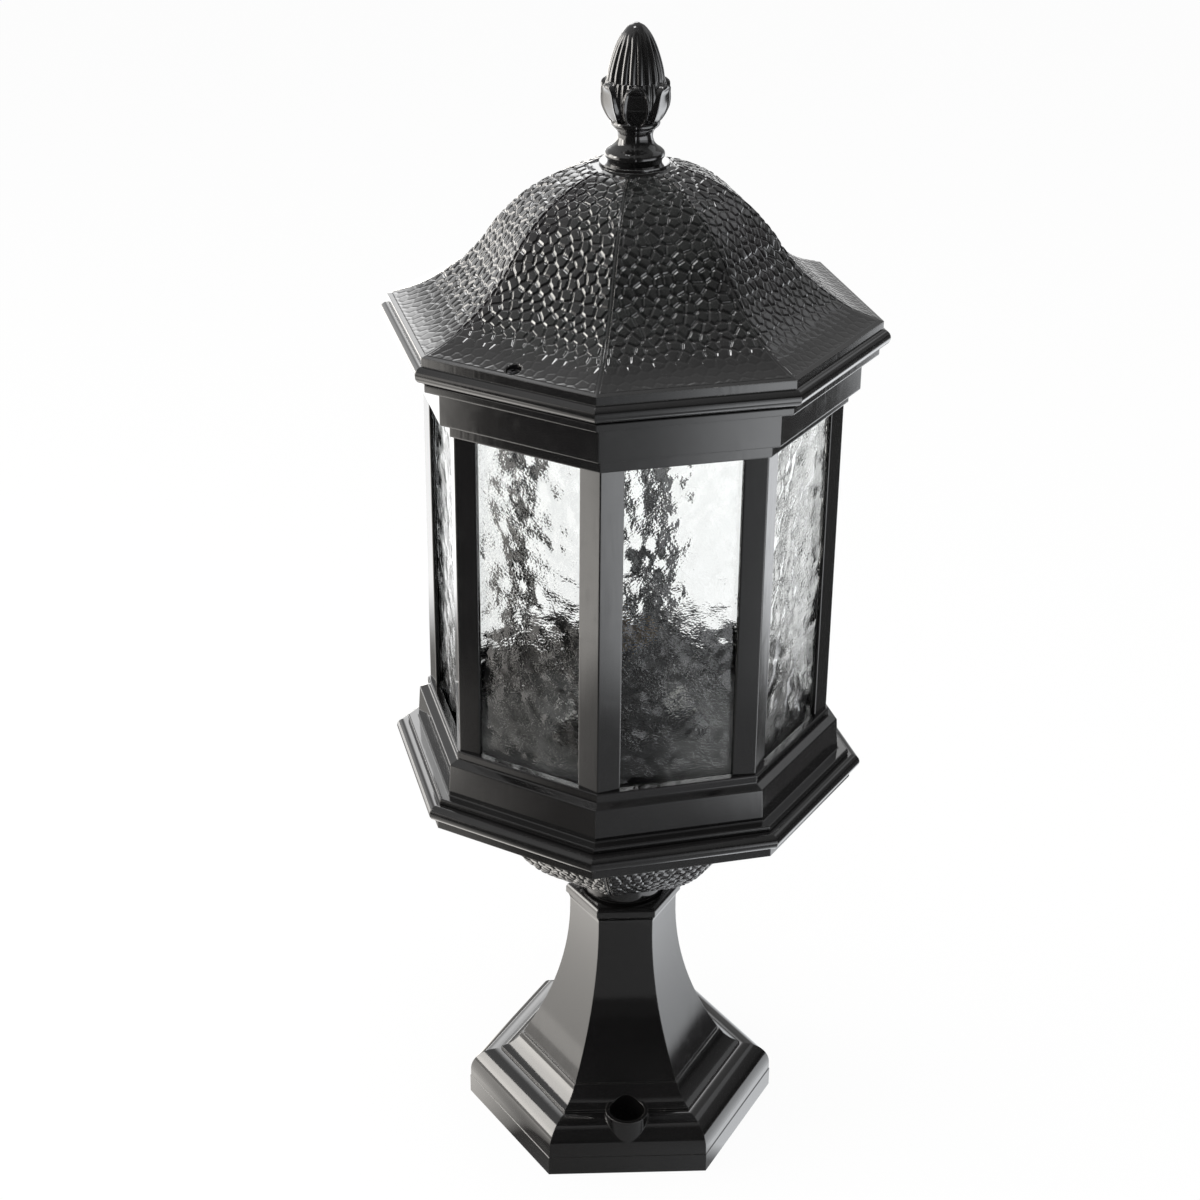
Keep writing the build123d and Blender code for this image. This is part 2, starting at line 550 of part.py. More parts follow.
# Screws that hold the posts between sill and cornice
lower_reach = post_foot + POST_SCREW_BITE - sill_foot - SCREW_HEAD_HEIGHT
lower_screw = Rot(180, 0, 0) * screw(POST_SCREW_RADIUS, lower_reach)
lower_screw = Pos(0, 0, sill_foot + SCREW_HEAD_HEIGHT) * lower_screw
save_head("post_screws_lower", group(around(Pos(post_port_circle, 0, 0) * lower_screw, corner_angles)))
upper_reach = cornice_web_top - post_head + POST_SCREW_BITE
upper_screw = Pos(0, 0, cornice_web_top) * screw(POST_SCREW_RADIUS, upper_reach)
save_head("post_screws_upper", group(around(Pos(post_port_circle, 0, 0) * upper_screw, corner_angles)))

# Glass panes
pane_width = 2 * (half_side - POST_WING + GLASS_LAP)
pane_height = cornice_web_foot - GLASS_LIFT - groove_foot
pane = Pos(glass_inner, 0, groove_foot) * Box(
    GLASS_THICKNESS, pane_width, pane_height, align=(Align.MIN, Align.CENTER, Align.MIN))
for number, turned_pane in enumerate(around(pane, flat_angles), 1):
    save_head(f"glass_pane_{number}", turned_pane)

# Gear plate, screwed down on the sill's shelf
plate = prism(frame_inner - PLATE_ROOM, shelf_top, plate_top)
plate -= pin(PLATE_HOLE_RADIUS, shelf_top - OVERCUT, plate_top + OVERCUT)
for hole in plate_screw_holes:
    plate -= hole
holder_screw_places = [Pos(EAR_CENTRE, 0, 0), Pos(-EAR_CENTRE, 0, 0)]
block_screw_places = [Pos(x, BLOCK_CENTRE_Y, 0) for x in (-BLOCK_SCREW_SPACING / 2, BLOCK_SCREW_SPACING / 2)]
earth_place = Pos(-EARTH_OFFSET, EARTH_CENTRE_Y, 0)
for place in holder_screw_places:
    plate -= place * pin(HOLDER_SCREW_RADIUS + THREAD_GAP, shelf_top - OVERCUT, plate_top + OVERCUT)
for place in block_screw_places + [earth_place]:
    plate -= place * pin(PLATE_SCREW_RADIUS + THREAD_GAP, shelf_top - OVERCUT, plate_top + OVERCUT)
save_head("gear_plate", plate)
plate_screw = Pos(0, 0, plate_top) * screw(PLATE_SCREW_RADIUS, PLATE_THICKNESS + PLATE_SCREW_BITE)
save_head("gear_plate_screws", group(around(Pos(shelf_middle, 0, 0) * plate_screw, flat_angles[1::2])))

# Terminal block under the gear plate, with its screws
block_foot = shelf_top - BLOCK_HEIGHT
pole_offsets = (-EARTH_OFFSET, -LEAD_OFFSET, LEAD_OFFSET)
block = Pos(0, BLOCK_CENTRE_Y, block_foot) * Box(
    BLOCK_LENGTH, BLOCK_WIDTH, BLOCK_HEIGHT, align=(Align.CENTER, Align.CENTER, Align.MIN))
block = chamfer(block.edges().filter_by(Axis.Z), EDGE_ROUND)
block_screw_foot = shelf_top - BLOCK_SCREW_BITE - OVERCUT
for place in block_screw_places:
    block -= place * pin(PLATE_SCREW_RADIUS + THREAD_GAP, block_screw_foot, shelf_top + OVERCUT)
pole_places = [Pos(x, BLOCK_CENTRE_Y, block_foot) for x in pole_offsets]
for place in pole_places:
    block -= place * pin(TERMINAL_SCREW_RADIUS + THREAD_GAP, -OVERCUT, TERMINAL_SCREW_BITE + OVERCUT)
save_head("terminal_block", block)
block_screw = Pos(0, 0, plate_top) * screw(PLATE_SCREW_RADIUS, PLATE_THICKNESS + BLOCK_SCREW_BITE)
save_head("terminal_block_screws", group(place * block_screw for place in block_screw_places))
pole_screw = Rot(180, 0, 0) * screw(TERMINAL_SCREW_RADIUS, TERMINAL_SCREW_BITE)
save_head("terminal_screws", group(place * pole_screw for place in pole_places))

# Leads from the block to the lampholder and to the earth terminal
lead_height = shelf_top - LEAD_DROP
lead_start = BLOCK_CENTRE_Y - BLOCK_WIDTH / 2
terminal_foot = web_foot - TERMINAL_SIZE
for name, x in (("live_lead", LEAD_OFFSET), ("neutral_lead", -LEAD_OFFSET)):
    save_head(name, lead([(x, lead_start, lead_height), (x, 0, lead_height), (x, 0, terminal_foot)]))
earth_turn = (-EARTH_OFFSET, EARTH_CENTRE_Y, lead_height)
earth_path = Polyline((-EARTH_OFFSET, lead_start, lead_height), earth_turn)
earth_wire = sweep(Plane(earth_path @ 0, z_dir=earth_path % 0) * Circle(LEAD_RADIUS), path=earth_path)
tag_height = LEAD_DROP + LEAD_RADIUS + EDGE_ROUND
earth_tag = Pos(0, 0, shelf_top) * Box(
    TERMINAL_SIZE, TERMINAL_SIZE, tag_height, align=(Align.CENTER, Align.CENTER, Align.MAX))
earth_tag -= pin(PLATE_SCREW_RADIUS + THREAD_GAP, tapped_foot, shelf_top + OVERCUT)
earth_tag = earth_place * earth_tag
save_head("earth_lead", earth_wire - earth_tag)
save_head("earth_terminal", earth_tag)
earth_screw = Pos(0, 0, plate_top) * screw(PLATE_SCREW_RADIUS, PLATE_THICKNESS + PLATE_SCREW_BITE)
save_head("earth_screw", earth_place * earth_screw)

# Lampholder
holder_bore = SOCKET_BORE_RADIUS + SHELL_WALL + HOLDER_BORE_ROOM
holder_outer = holder_bore + HOLDER_WALL
shell_top = web_top + SOCKET_DEPTH
holder_top = shell_top + HOLDER_RIM
base_top = plate_top + HOLDER_BASE_HEIGHT
holder_outline = chain(
    (0, plate_top), (HOLDER_BASE_RADIUS, plate_top), (HOLDER_BASE_RADIUS, base_top),
    (holder_outer, base_top + HOLDER_TAPER), (holder_outer, holder_top), (0, holder_top), (0, plate_top))
holder = revolve(Plane.XZ * make_face(holder_outline), Axis.Z)
ear_plan = SlotCenterToCenter(2 * EAR_CENTRE, 2 * EAR_RADIUS)
holder += Pos(0, 0, plate_top) * extrude(ear_plan, EAR_HEIGHT)
holder -= pin(HOLDER_CAVITY_RADIUS, plate_top - OVERCUT, web_foot)
holder -= pin(holder_bore, web_top, holder_top + OVERCUT)
holder -= pin(CONTACT_STEM_RADIUS + CLEARANCE, web_foot - OVERCUT, web_top + OVERCUT)
ear_top = plate_top + EAR_HEIGHT
for place in holder_screw_places:
    holder -= place * pin(HOLDER_SCREW_RADIUS + THREAD_GAP, plate_top - OVERCUT, ear_top + OVERCUT)
save_head("lampholder_body", holder)
holder_screw_length = EAR_HEIGHT + PLATE_THICKNESS + HOLDER_SCREW_SPARE
holder_screw = Pos(0, 0, ear_top) * screw(HOLDER_SCREW_RADIUS, holder_screw_length)
save_head("lampholder_screws", group(place * holder_screw for place in holder_screw_places))
shell_outer = SOCKET_BORE_RADIUS + SHELL_WALL
cup_outer = SHELL_CUP_RADIUS + SHELL_WALL
cup_floor = web_top + SHELL_WALL
shell_step = web_top + SHELL_CUP_HEIGHT
shell_outline = chain(
    (SHELL_FLOOR_HOLE_RADIUS, web_top), (cup_outer, web_top), (cup_outer, shell_step - SHELL_WALL),
    (shell_outer, shell_step - SHELL_WALL), (shell_outer, shell_top), (SOCKET_BORE_RADIUS, shell_top),
    (SOCKET_BORE_RADIUS, shell_step), (SHELL_CUP_RADIUS, shell_step), (SHELL_CUP_RADIUS, cup_floor),
    (SHELL_FLOOR_HOLE_RADIUS, cup_floor), (SHELL_FLOOR_HOLE_RADIUS, web_top))
save_head("screw_shell", revolve(Plane.XZ * make_face(shell_outline), Axis.Z))
terminal = Box(TERMINAL_SIZE, TERMINAL_SIZE, TERMINAL_SIZE, align=(Align.CENTER, Align.CENTER, Align.MIN))
save_head("holder_terminals", group(Pos(x, 0, terminal_foot) * terminal for x in (LEAD_OFFSET, -LEAD_OFFSET)))

# Sprung centre contact
contact_foot = web_top + CONTACT_SPRING_LENGTH
stop_foot = web_foot - CONTACT_STOP_HEIGHT - CLEARANCE
contact = pin(CONTACT_RADIUS, contact_foot, contact_foot + CONTACT_HEIGHT)
contact = fillet(contact.edges().sort_by(Axis.Z)[-1], CONTACT_HEIGHT / 2)
contact += pin(CONTACT_STEM_RADIUS, stop_foot, contact_foot)
contact += pin(CONTACT_STOP_RADIUS, stop_foot, stop_foot + CONTACT_STOP_HEIGHT)
save_head("centre_contact", contact)
spring_inner = CONTACT_SPRING_RADIUS - CONTACT_SPRING_WALL
save_head("contact_spring", ring(CONTACT_SPRING_RADIUS, spring_inner, web_top, contact_foot))

# Roof gasket, lying on the cornice band
gasket = prism(cornice_band - ROOF_GASKET_HEIGHT, cornice_top, roof_foot)
gasket -= prism(roof_seat, cornice_top - OVERCUT, roof_foot + OVERCUT)
gasket_hole = pin(ROOF_SCREW_RADIUS + CLEARANCE, cornice_top - OVERCUT, roof_foot + OVERCUT)
for hole in around(Pos(roof_screw_apothem, 0, 0) * gasket_hole, roof_screw_angles):
    gasket -= hole
save_head("roof_gasket", gasket)

# Roof casting
roof_lip = BODY_APOTHEM + ROOF_LIP_OUT
dome_waist = (DOME_WAIST_APOTHEM, roof_eave + DOME_WAIST_HEIGHT)
dome = ogee((roof_lip, roof_eave), DOME_EAVE_SLOPE, dome_waist, (CROWN_APOTHEM, dome_top), 1)
dome_in = [inset(edge, ROOF_WALL) for edge in dome]
roof_bead = nose(BODY_APOTHEM + ROOF_BEAD_OUT, roof_foot, ROOF_BEAD_HEIGHT)
roof_profile = [*chain((0, roof_foot), roof_bead @ 0), roof_bead]
roof_profile += chain(roof_bead @ 1, (roof_lip, roof_lip_foot), dome[0] @ 0)
roof_profile += [*dome, *chain(dome[1] @ 1, (0, dome_top))]
crown_inside = (dome_in[1] @ 1).Y
roof_hollow = chain((0, roof_foot - OVERCUT), ((dome_in[0] @ 0).X, roof_foot - OVERCUT), dome_in[0] @ 0)
roof_hollow += [*dome_in, *chain(dome_in[1] @ 1, (0, crown_inside))]
roof = faceted(roof_profile, LANTERN_SIDES)
roof -= faceted(roof_hollow, LANTERN_SIDES) & prism(roof_seat, roof_foot - OVERCUT, dome_top)
roof += pin(CROWN_BOSS_RADIUS, dome_top - ROOF_WALL / 2, finial_foot)
roof_screw_seat = roof_eave - ROOF_SCREW_SINK
roof_screw_way = pin(ROOF_SCREW_RADIUS + CLEARANCE, roof_foot - OVERCUT, roof_eave)
roof_screw_way += pin(ROOF_SCREW_RADIUS + SCREW_HEAD_OVERHANG + CLEARANCE, roof_screw_seat, dome_top)
for hole in around(Pos(roof_screw_apothem, 0, 0) * roof_screw_way, roof_screw_angles):
    roof -= hole
roof -= pin(FINIAL_SCREW_RADIUS + CLEARANCE, crown_inside - OVERCUT, finial_foot + OVERCUT)
save_head("roof_shell", roof)
roof_screw_length = roof_screw_seat - cornice_band_foot - ROOF_SCREW_STOP
roof_screw = Pos(0, 0, roof_screw_seat) * screw(ROOF_SCREW_RADIUS, roof_screw_length)
save_head("roof_screws", group(around(Pos(roof_screw_apothem, 0, 0) * roof_screw, roof_screw_angles)))

# Finial: ring, neck, leaf cup and fluted acorn turned on one axis
ring_head = finial_foot + FINIAL_RING_HEIGHT
neck_head = ring_head + FINIAL_NECK_HEIGHT
collar_head = neck_head + FINIAL_COLLAR_HEIGHT
cup_head = collar_head + FINIAL_CUP_HEIGHT
tip = cup_head + FINIAL_ACORN_HEIGHT
ring_edge = FINIAL_RING_RADIUS - FINIAL_RING_BULGE
ring_middle = finial_foot + FINIAL_RING_HEIGHT / 2
finial_ring = ThreePointArc(
    (ring_edge, finial_foot), (FINIAL_RING_RADIUS, ring_middle), (ring_edge, ring_head))
finial_neck = ThreePointArc(
    finial_ring @ 1, (FINIAL_NECK_RADIUS, ring_head + FINIAL_NECK_HEIGHT / 2),
    (FINIAL_COLLAR_RADIUS - FINIAL_COLLAR_STEP, neck_head))
cup_belly = (8 * FINIAL_CUP_RADIUS - FINIAL_COLLAR_RADIUS - FINIAL_ACORN_RADIUS) / 6
finial_cup = Bezier(
    (FINIAL_COLLAR_RADIUS, collar_head), (cup_belly, collar_head + FINIAL_CUP_PULL),
    (cup_belly, cup_head - FINIAL_CUP_PULL), (FINIAL_ACORN_RADIUS, cup_head))
finial_acorn = Bezier(
    (FINIAL_ACORN_RADIUS, cup_head), (FINIAL_ACORN_RADIUS, cup_head + FINIAL_ACORN_RISE),
    (FINIAL_TIP_PULL, tip), (0, tip))
finial_outline = [*chain((0, finial_foot), finial_ring @ 0), finial_ring, finial_neck]
finial_outline += chain(finial_neck @ 1, (FINIAL_COLLAR_RADIUS, neck_head), finial_cup @ 0)
finial_outline += [finial_cup, finial_acorn, *chain((0, tip), (0, finial_foot))]
finial = revolve(Plane.XZ * make_face(finial_outline), Axis.Z)
finial_hole_top = finial_foot + FINIAL_SCREW_BITE + OVERCUT
finial -= pin(FINIAL_SCREW_RADIUS + THREAD_GAP, finial_foot - OVERCUT, finial_hole_top)
save_head("finial", finial)
washer_foot = crown_inside - FINIAL_WASHER_HEIGHT
finial_washer = ring(FINIAL_WASHER_RADIUS, FINIAL_SCREW_RADIUS + CLEARANCE, washer_foot, crown_inside)
save_head("finial_washer", finial_washer)
finial_screw_length = finial_foot + FINIAL_SCREW_BITE - washer_foot
finial_screw = Pos(0, 0, washer_foot) * (Rot(180, 0, 0) * screw(FINIAL_SCREW_RADIUS, finial_screw_length))
save_head("finial_screw", finial_screw)
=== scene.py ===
import logging
import math
from dataclasses import dataclass, field
from enum import Enum
from typing import Any, Callable, Optional, Sequence, Union

import bpy
import numpy as np
from mathutils import Matrix

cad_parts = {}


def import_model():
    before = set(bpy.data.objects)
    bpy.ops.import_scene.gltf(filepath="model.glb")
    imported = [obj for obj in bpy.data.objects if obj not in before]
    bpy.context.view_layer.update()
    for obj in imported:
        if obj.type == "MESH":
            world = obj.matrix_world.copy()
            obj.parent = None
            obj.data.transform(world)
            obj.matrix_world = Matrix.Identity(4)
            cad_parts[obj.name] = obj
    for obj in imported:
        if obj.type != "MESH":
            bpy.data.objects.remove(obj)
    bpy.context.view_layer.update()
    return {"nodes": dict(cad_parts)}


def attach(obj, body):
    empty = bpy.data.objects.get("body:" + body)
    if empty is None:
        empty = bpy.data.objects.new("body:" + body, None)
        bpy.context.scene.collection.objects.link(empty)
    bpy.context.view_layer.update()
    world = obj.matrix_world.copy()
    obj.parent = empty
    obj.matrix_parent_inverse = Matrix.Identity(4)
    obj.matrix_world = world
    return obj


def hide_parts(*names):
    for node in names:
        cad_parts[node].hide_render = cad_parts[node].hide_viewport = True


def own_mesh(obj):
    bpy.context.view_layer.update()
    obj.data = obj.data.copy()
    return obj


LOG = logging.getLogger("pillar_light")
MM = 0.001
TINY = 1e-6
TURN = 2 * math.pi
SIDES = 8
HEAD_TURN = math.radians(11.6)
HALF_SIDE = math.tan(math.pi / SIDES)
EAVE_SLOPE = math.radians(15)

Triple = tuple[float, float, float]
Colour = Triple
Point = tuple[float, float]
Term = Union["Value", float]

WARM: Colour = (1.0, 0.965, 0.915)
PLAIN: Colour = (1.0, 1.0, 1.0)
COOL: Colour = (0.955, 0.975, 1.0)
BLACK: Colour = (0.0, 0.0, 0.0)


def tone(colour: Colour, share: float) -> Colour:
    """A colour made lighter or darker."""
    return tuple(share * part for part in colour)


class Slot(Enum):
    """The record's material slots of the scene's own pieces."""

    ENAMEL = "black_enamel"
    GLASS = "water_glass"
    BRASS = "brass"
    SPRING = "spring_steel"


class Body(Enum):
    """The moving bodies of the light that the scene's own pieces ride on."""

    LANTERN = "lantern"
    ROOF = "roof"


def math_method(operation: str, reflected: bool = False) -> Callable[["Value", Term], "Value"]:
    """Make a method that adds one Math node.

    Args:
        operation: The node's operation.
        reflected: Whether the value is the node's second term, as in 1 - value.

    Returns:
        The method, which takes the other term where there is one.
    """
    def method(value: "Value", other: Term = 0.0) -> "Value":
        """Add the node and return its result."""
        first, second = (other, value) if reflected else (value, other)
        return value.graph.node("ShaderNodeMath", {"operation": operation}, {0: first, 1: second})
    return method


class Value:
    """A node's output that adds Math nodes where it is used in an expression."""

    __add__, __radd__ = math_method("ADD"), math_method("ADD", True)
    __sub__, __rsub__ = math_method("SUBTRACT"), math_method("SUBTRACT", True)
    __mul__, __rmul__ = math_method("MULTIPLY"), math_method("MULTIPLY", True)
    __truediv__, __rtruediv__ = math_method("DIVIDE"), math_method("DIVIDE", True)
    __pow__ = math_method("POWER")
    larger = math_method("MAXIMUM")
    sine = math_method("SINE")
    # The angle of the point (other, self), in radians.
    bearing = math_method("ARCTAN2")

    def __init__(self, graph: "Graph", socket: Optional[bpy.types.NodeSocket]) -> None:
        """Keep the socket and the graph that it belongs to."""
        self.graph = graph
        self.socket = socket

    def between(self, low: float, high: float) -> "Value":
        """Smooth step from 0 at low to 1 at high; low may lie above high."""
        first, last, start, end = (low, high, 0.0, 1.0) if low < high else (high, low, 1.0, 0.0)
        return self.graph.node("ShaderNodeMapRange", {"interpolation_type": "SMOOTHSTEP"}, {
            "Value": self, "From Min": first, "From Max": last, "To Min": start, "To Max": end})


class Graph:
    """A node tree that is written as expressions."""

    def __init__(self, block: Union[bpy.types.Material, bpy.types.World]) -> None:
        """Start from an empty tree in a material or a world."""
        block.use_nodes = True
        self.tree = block.node_tree
        self.tree.nodes.clear()

    def node(self, kind: str, settings: Optional[dict[str, Any]] = None,
             inputs: Optional[dict[Union[int, str], Any]] = None, output: Union[int, str] = 0) -> Value:
        """Add one node.

        Args:
            kind: The node's type.
            settings: Its properties, set first; "stops" holds a ramp's (place, colour) pairs.
            inputs: Values or links of its sockets, by name or number.
            output: The socket that is returned.

        Returns:
            The chosen output.
        """
        made = self.tree.nodes.new(kind)
        for name, value in (settings or {}).items():
            if name == "stops":
                self._set_stops(made.color_ramp.elements, value)
            else:
                setattr(made, name, value)
        for name, value in (inputs or {}).items():
            if isinstance(value, Value):
                self.tree.links.new(value.socket, made.inputs[name])
            else:
                made.inputs[name].default_value = value
        return Value(self, made.outputs[output] if len(made.outputs) else None)

    @staticmethod
    def _set_stops(elements: bpy.types.ColorRampElements, stops: Sequence[tuple[float, Colour]]) -> None:
        """Give a ramp its stops.

        Args:
            elements: The ramp's elements, two of them.
            stops: Place and colour of each stop, in order.
        """
        while len(elements) < len(stops):
            elements.new(0.5)
        for element, (place, colour) in zip(elements, stops):
            element.position = place
            element.color = (*colour, 1.0)

    def place(self) -> Value:
        """Object coordinates, in metres."""
        return self.node("ShaderNodeTexCoord", output="Object")

    def axes(self, vector: Value) -> tuple[Value, Value, Value]:
        """The three components of a vector."""
        first = self.node("ShaderNodeSeparateXYZ", inputs={0: vector})
        return tuple(Value(self, socket) for socket in first.socket.node.outputs)

    def stretch(self, vector: Value, scale: Sequence[float]) -> Value:
        """A vector with its axes scaled."""
        return self.node("ShaderNodeMapping", inputs={"Vector": vector, "Scale": scale})

    def noise(self, vector: Value, size: float, detail: float = 2.0, roughness: float = 0.5) -> Value:
        """Smooth noise from 0 to 1, with swells of a size in metres and a number of finer octaves."""
        return self.node("ShaderNodeTexNoise", {"noise_dimensions": "3D"}, {
            "Vector": vector, "Scale": 1.0 / size, "Detail": detail, "Roughness": roughness})

    def ramp(self, value: Value, stops: Sequence[tuple[float, Colour]]) -> Value:
        """A colour ramp on a value."""
        return self.node("ShaderNodeValToRGB", {"stops": stops}, {0: value})

    def mix(self, share: Term, first: Any, second: Any) -> Value:
        """A colour between two colours or links: the first at a share of 0, the second at 1."""
        ends = [end if isinstance(end, Value) else (*end, 1.0) for end in (first, second)]
        return self.node("ShaderNodeMix", {"data_type": "RGBA"}, {0: share, 6: ends[0], 7: ends[1]}, 2)

    def bump(self, height: Value, normal: Optional[Value] = None) -> Value:
        """A normal bent by a height in metres, from the surface's own normal or the one given."""
        inputs = {"Strength": 1.0, "Distance": 1.0, "Height": height}
        return self.node("ShaderNodeBump", inputs=inputs if normal is None else {**inputs, "Normal": normal})

    def softened(self, radius: float) -> Value:
        """The normal of a surface whose edges are rounded to a radius, in metres."""
        return self.node("ShaderNodeBevel", {"samples": 6}, {"Radius": radius})

    def edges(self, rounded: Value) -> Value:
        """How far a rounded normal leaves the true one: 0 on a flat and more towards an edge."""
        true = self.node("ShaderNodeNewGeometry", output="Normal")
        return 1.0 - self.node(
            "ShaderNodeVectorMath", {"operation": "DOT_PRODUCT"}, {0: rounded, 1: true}, "Value")

    def finish(self, inputs: dict[str, Any]) -> None:
        """Close a material with one Principled shader that has these inputs."""
        shader = self.node("ShaderNodeBsdfPrincipled", inputs=inputs)
        self.node("ShaderNodeOutputMaterial", inputs={"Surface": shader})


@dataclass(frozen=True)
class Specks:
    """Round specks scattered through space. Lengths are in metres, and a share of the places has a speck."""

    height: float
    spacing: float
    radius: float
    share: float

    def read(self, graph: Graph, here: Value) -> Value:
        """The specks' height, from 0 outside them.

        Args:
            graph: The tree to write in.
            here: Where they are read.

        Returns:
            The height.
        """
        cells = graph.node(
            "ShaderNodeTexVoronoi", {"feature": "F1"}, {"Vector": here, "Scale": 1.0 / self.spacing})
        lot = graph.axes(Value(graph, cells.socket.node.outputs["Color"]))[0]
        size = self.radius / self.spacing
        return cells.between(size, 0.5 * size) * lot.between(self.share, self.share - 0.02) * self.height


@dataclass(frozen=True)
class Finish:
    """A finish that makes its own material. Depths and sizes of its patterns are in metres."""

    name: str

    def write(self, graph: Graph) -> None:
        """Write the nodes; each finish has its own."""
        raise NotImplementedError

    def material(self) -> bpy.types.Material:
        """Make the material.

        Returns:
            The new material.
        """
        made = bpy.data.materials.new(self.name)
        self.write(Graph(made))
        return made


@dataclass(frozen=True)
class Enamel(Finish):
    """Gloss enamel on a casting: orange peel, swells, dust nibs, runs and light grey edges that are partly
    paint wear and partly painted highlight; matt in the lantern.
    """

    colour: Colour = (0.0065, 0.0063, 0.0064)
    # Light grey of the edges: paint wear, and also a painted highlight that stands in for the glint on
    # rounded edges.
    wear_and_edge_highlight: Colour = (0.2, 0.195, 0.185)
    roughness: float = 0.1
    ior: float = 1.55
    coat: float = 0.9
    edge: float = 0.8 * MM
    rub_size: float = 1.7 * MM
    peel: float = 0.0022 * MM
    peel_size: float = 1.1 * MM
    swell: float = 0.022 * MM
    swell_size: float = 17 * MM
    nibs: Specks = Specks(height=0.05 * MM, spacing=13 * MM, radius=0.45 * MM, share=0.22)
    run: float = 0.03 * MM
    run_size: float = 2.4 * MM
    run_stretch: Triple = (1.0, 1.0, 0.1)
    run_patch: float = 21 * MM
    cloud_size: float = 34 * MM
    haze_size: float = 6 * MM
    room_radius: Point = (79.9 * MM, 79.0 * MM)
    room_foot: Point = (190 * MM, 195 * MM)
    room_head: Point = (400 * MM, 395 * MM)

    def write(self, graph: Graph) -> None:
        """Write the enamel's nodes.

        Args:
            graph: The material's tree.
        """
        here = graph.place()
        peel = graph.noise(here, self.peel_size, 1.0)
        swell = graph.noise(here, self.swell_size, 1.0)
        runs = graph.noise(graph.stretch(here, self.run_stretch), self.run_size, 1.0)
        runs = runs * graph.noise(here, self.run_patch, 1.0).between(0.45, 0.62)
        height = peel * self.peel + swell * self.swell + self.nibs.read(graph, here) + runs * self.run
        cloud = graph.noise(here, self.cloud_size, 3.0)
        colour = graph.mix(cloud.between(0.35, 0.75), self.colour, tone(self.colour, 1.5))
        haze = graph.noise(here, self.haze_size, 4.0, 0.6).between(0.45, 0.8)
        x, y, z = graph.axes(here)
        inside = (x * x + y * y).between(*(radius**2 for radius in self.room_radius))
        inside = inside * z.between(*self.room_foot) * z.between(*self.room_head)
        roughness = self.roughness + 0.07 * haze + inside * 0.5
        rounded = None
        if self.edge:
            rounded = graph.softened(self.edge)
            rub = graph.noise(here, self.rub_size, 3.0, 0.7).between(0.6, 0.7)
            # Edge mask broken up by noise: it lightens edges as paint wear and as a painted highlight for the
            # rounded edges' glints.
            edge_wear_and_highlight = graph.edges(rounded).between(0.06, 0.16) * (0.2 + 0.8 * rub)
            colour = graph.mix(edge_wear_and_highlight, colour, self.wear_and_edge_highlight)
            roughness = roughness + edge_wear_and_highlight * 0.2
        graph.finish({
            "Base Color": colour, "Roughness": roughness, "IOR": self.ior,
            "Coat Weight": self.coat - self.coat * inside, "Coat Roughness": 0.05, "Coat IOR": self.ior,
            "Normal": graph.bump(height, rounded)})


@dataclass(frozen=True)
class WaterGlass(Finish):
    """Clear cast glass, faintly green, with a fine crackle over its ripples and small bubbles."""

    colour: Colour = (0.99, 1.0, 0.995)
    crackle: float = 0.14 * MM
    crackle_size: float = 0.95 * MM
    crackle_stretch: Triple = (0.7, 0.7, 1.0)
    patch_size: float = 11 * MM
    bubbles: Specks = Specks(height=0.02 * MM, spacing=9 * MM, radius=0.3 * MM, share=0.12)

    def write(self, graph: Graph) -> None:
        """Write the glass's nodes.

        Args:
            graph: The material's tree.
        """
        here = graph.place()
        fine = graph.noise(graph.stretch(here, self.crackle_stretch), self.crackle_size, 1.0)
        patches = 0.35 + 0.65 * graph.noise(here, self.patch_size, 1.0).between(0.35, 0.65)
        height = fine * patches * self.crackle + self.bubbles.read(graph, here)
        graph.finish({
            "Base Color": (*self.colour, 1.0), "Roughness": 0.01 + 0.015 * patches, "IOR": 1.5,
            "Transmission Weight": 1.0, "Normal": graph.bump(height)})


@dataclass(frozen=True)
class Metal(Finish):
    """Bare or plated metal with fine draw marks, dull patches and, where asked, a screw thread."""

    colour: Colour = (0.62, 0.62, 0.6)
    stain: Colour = (0.5, 0.48, 0.44)
    roughness: float = 0.28
    edge: float = 0.25 * MM
    pitch: float = 0.0
    thread_share: float = 0.16
    stain_size: float = 5 * MM
    scratch: float = 0.004 * MM
    scratch_size: float = 0.9 * MM
    scratch_stretch: Triple = (1.0, 1.0, 9.0)

    def write(self, graph: Graph) -> None:
        """Write the metal's nodes.

        Args:
            graph: The material's tree.
        """
        here = graph.place()
        cloud = graph.noise(here, self.stain_size, 4.0, 0.6)
        scratch = graph.noise(graph.stretch(here, self.scratch_stretch), self.scratch_size, 3.0, 0.6)
        height = scratch * self.scratch
        if self.pitch:
            thread = (graph.axes(here)[2] * (TURN / self.pitch)).sine()
            height = height + thread * (self.thread_share * self.pitch)
        graph.finish({
            "Base Color": graph.mix(cloud.between(0.42, 0.7), self.colour, self.stain), "Metallic": 1.0,
            "Roughness": self.roughness + 0.18 * cloud.between(0.4, 0.75),
            "Normal": graph.bump(height, graph.softened(self.edge))})


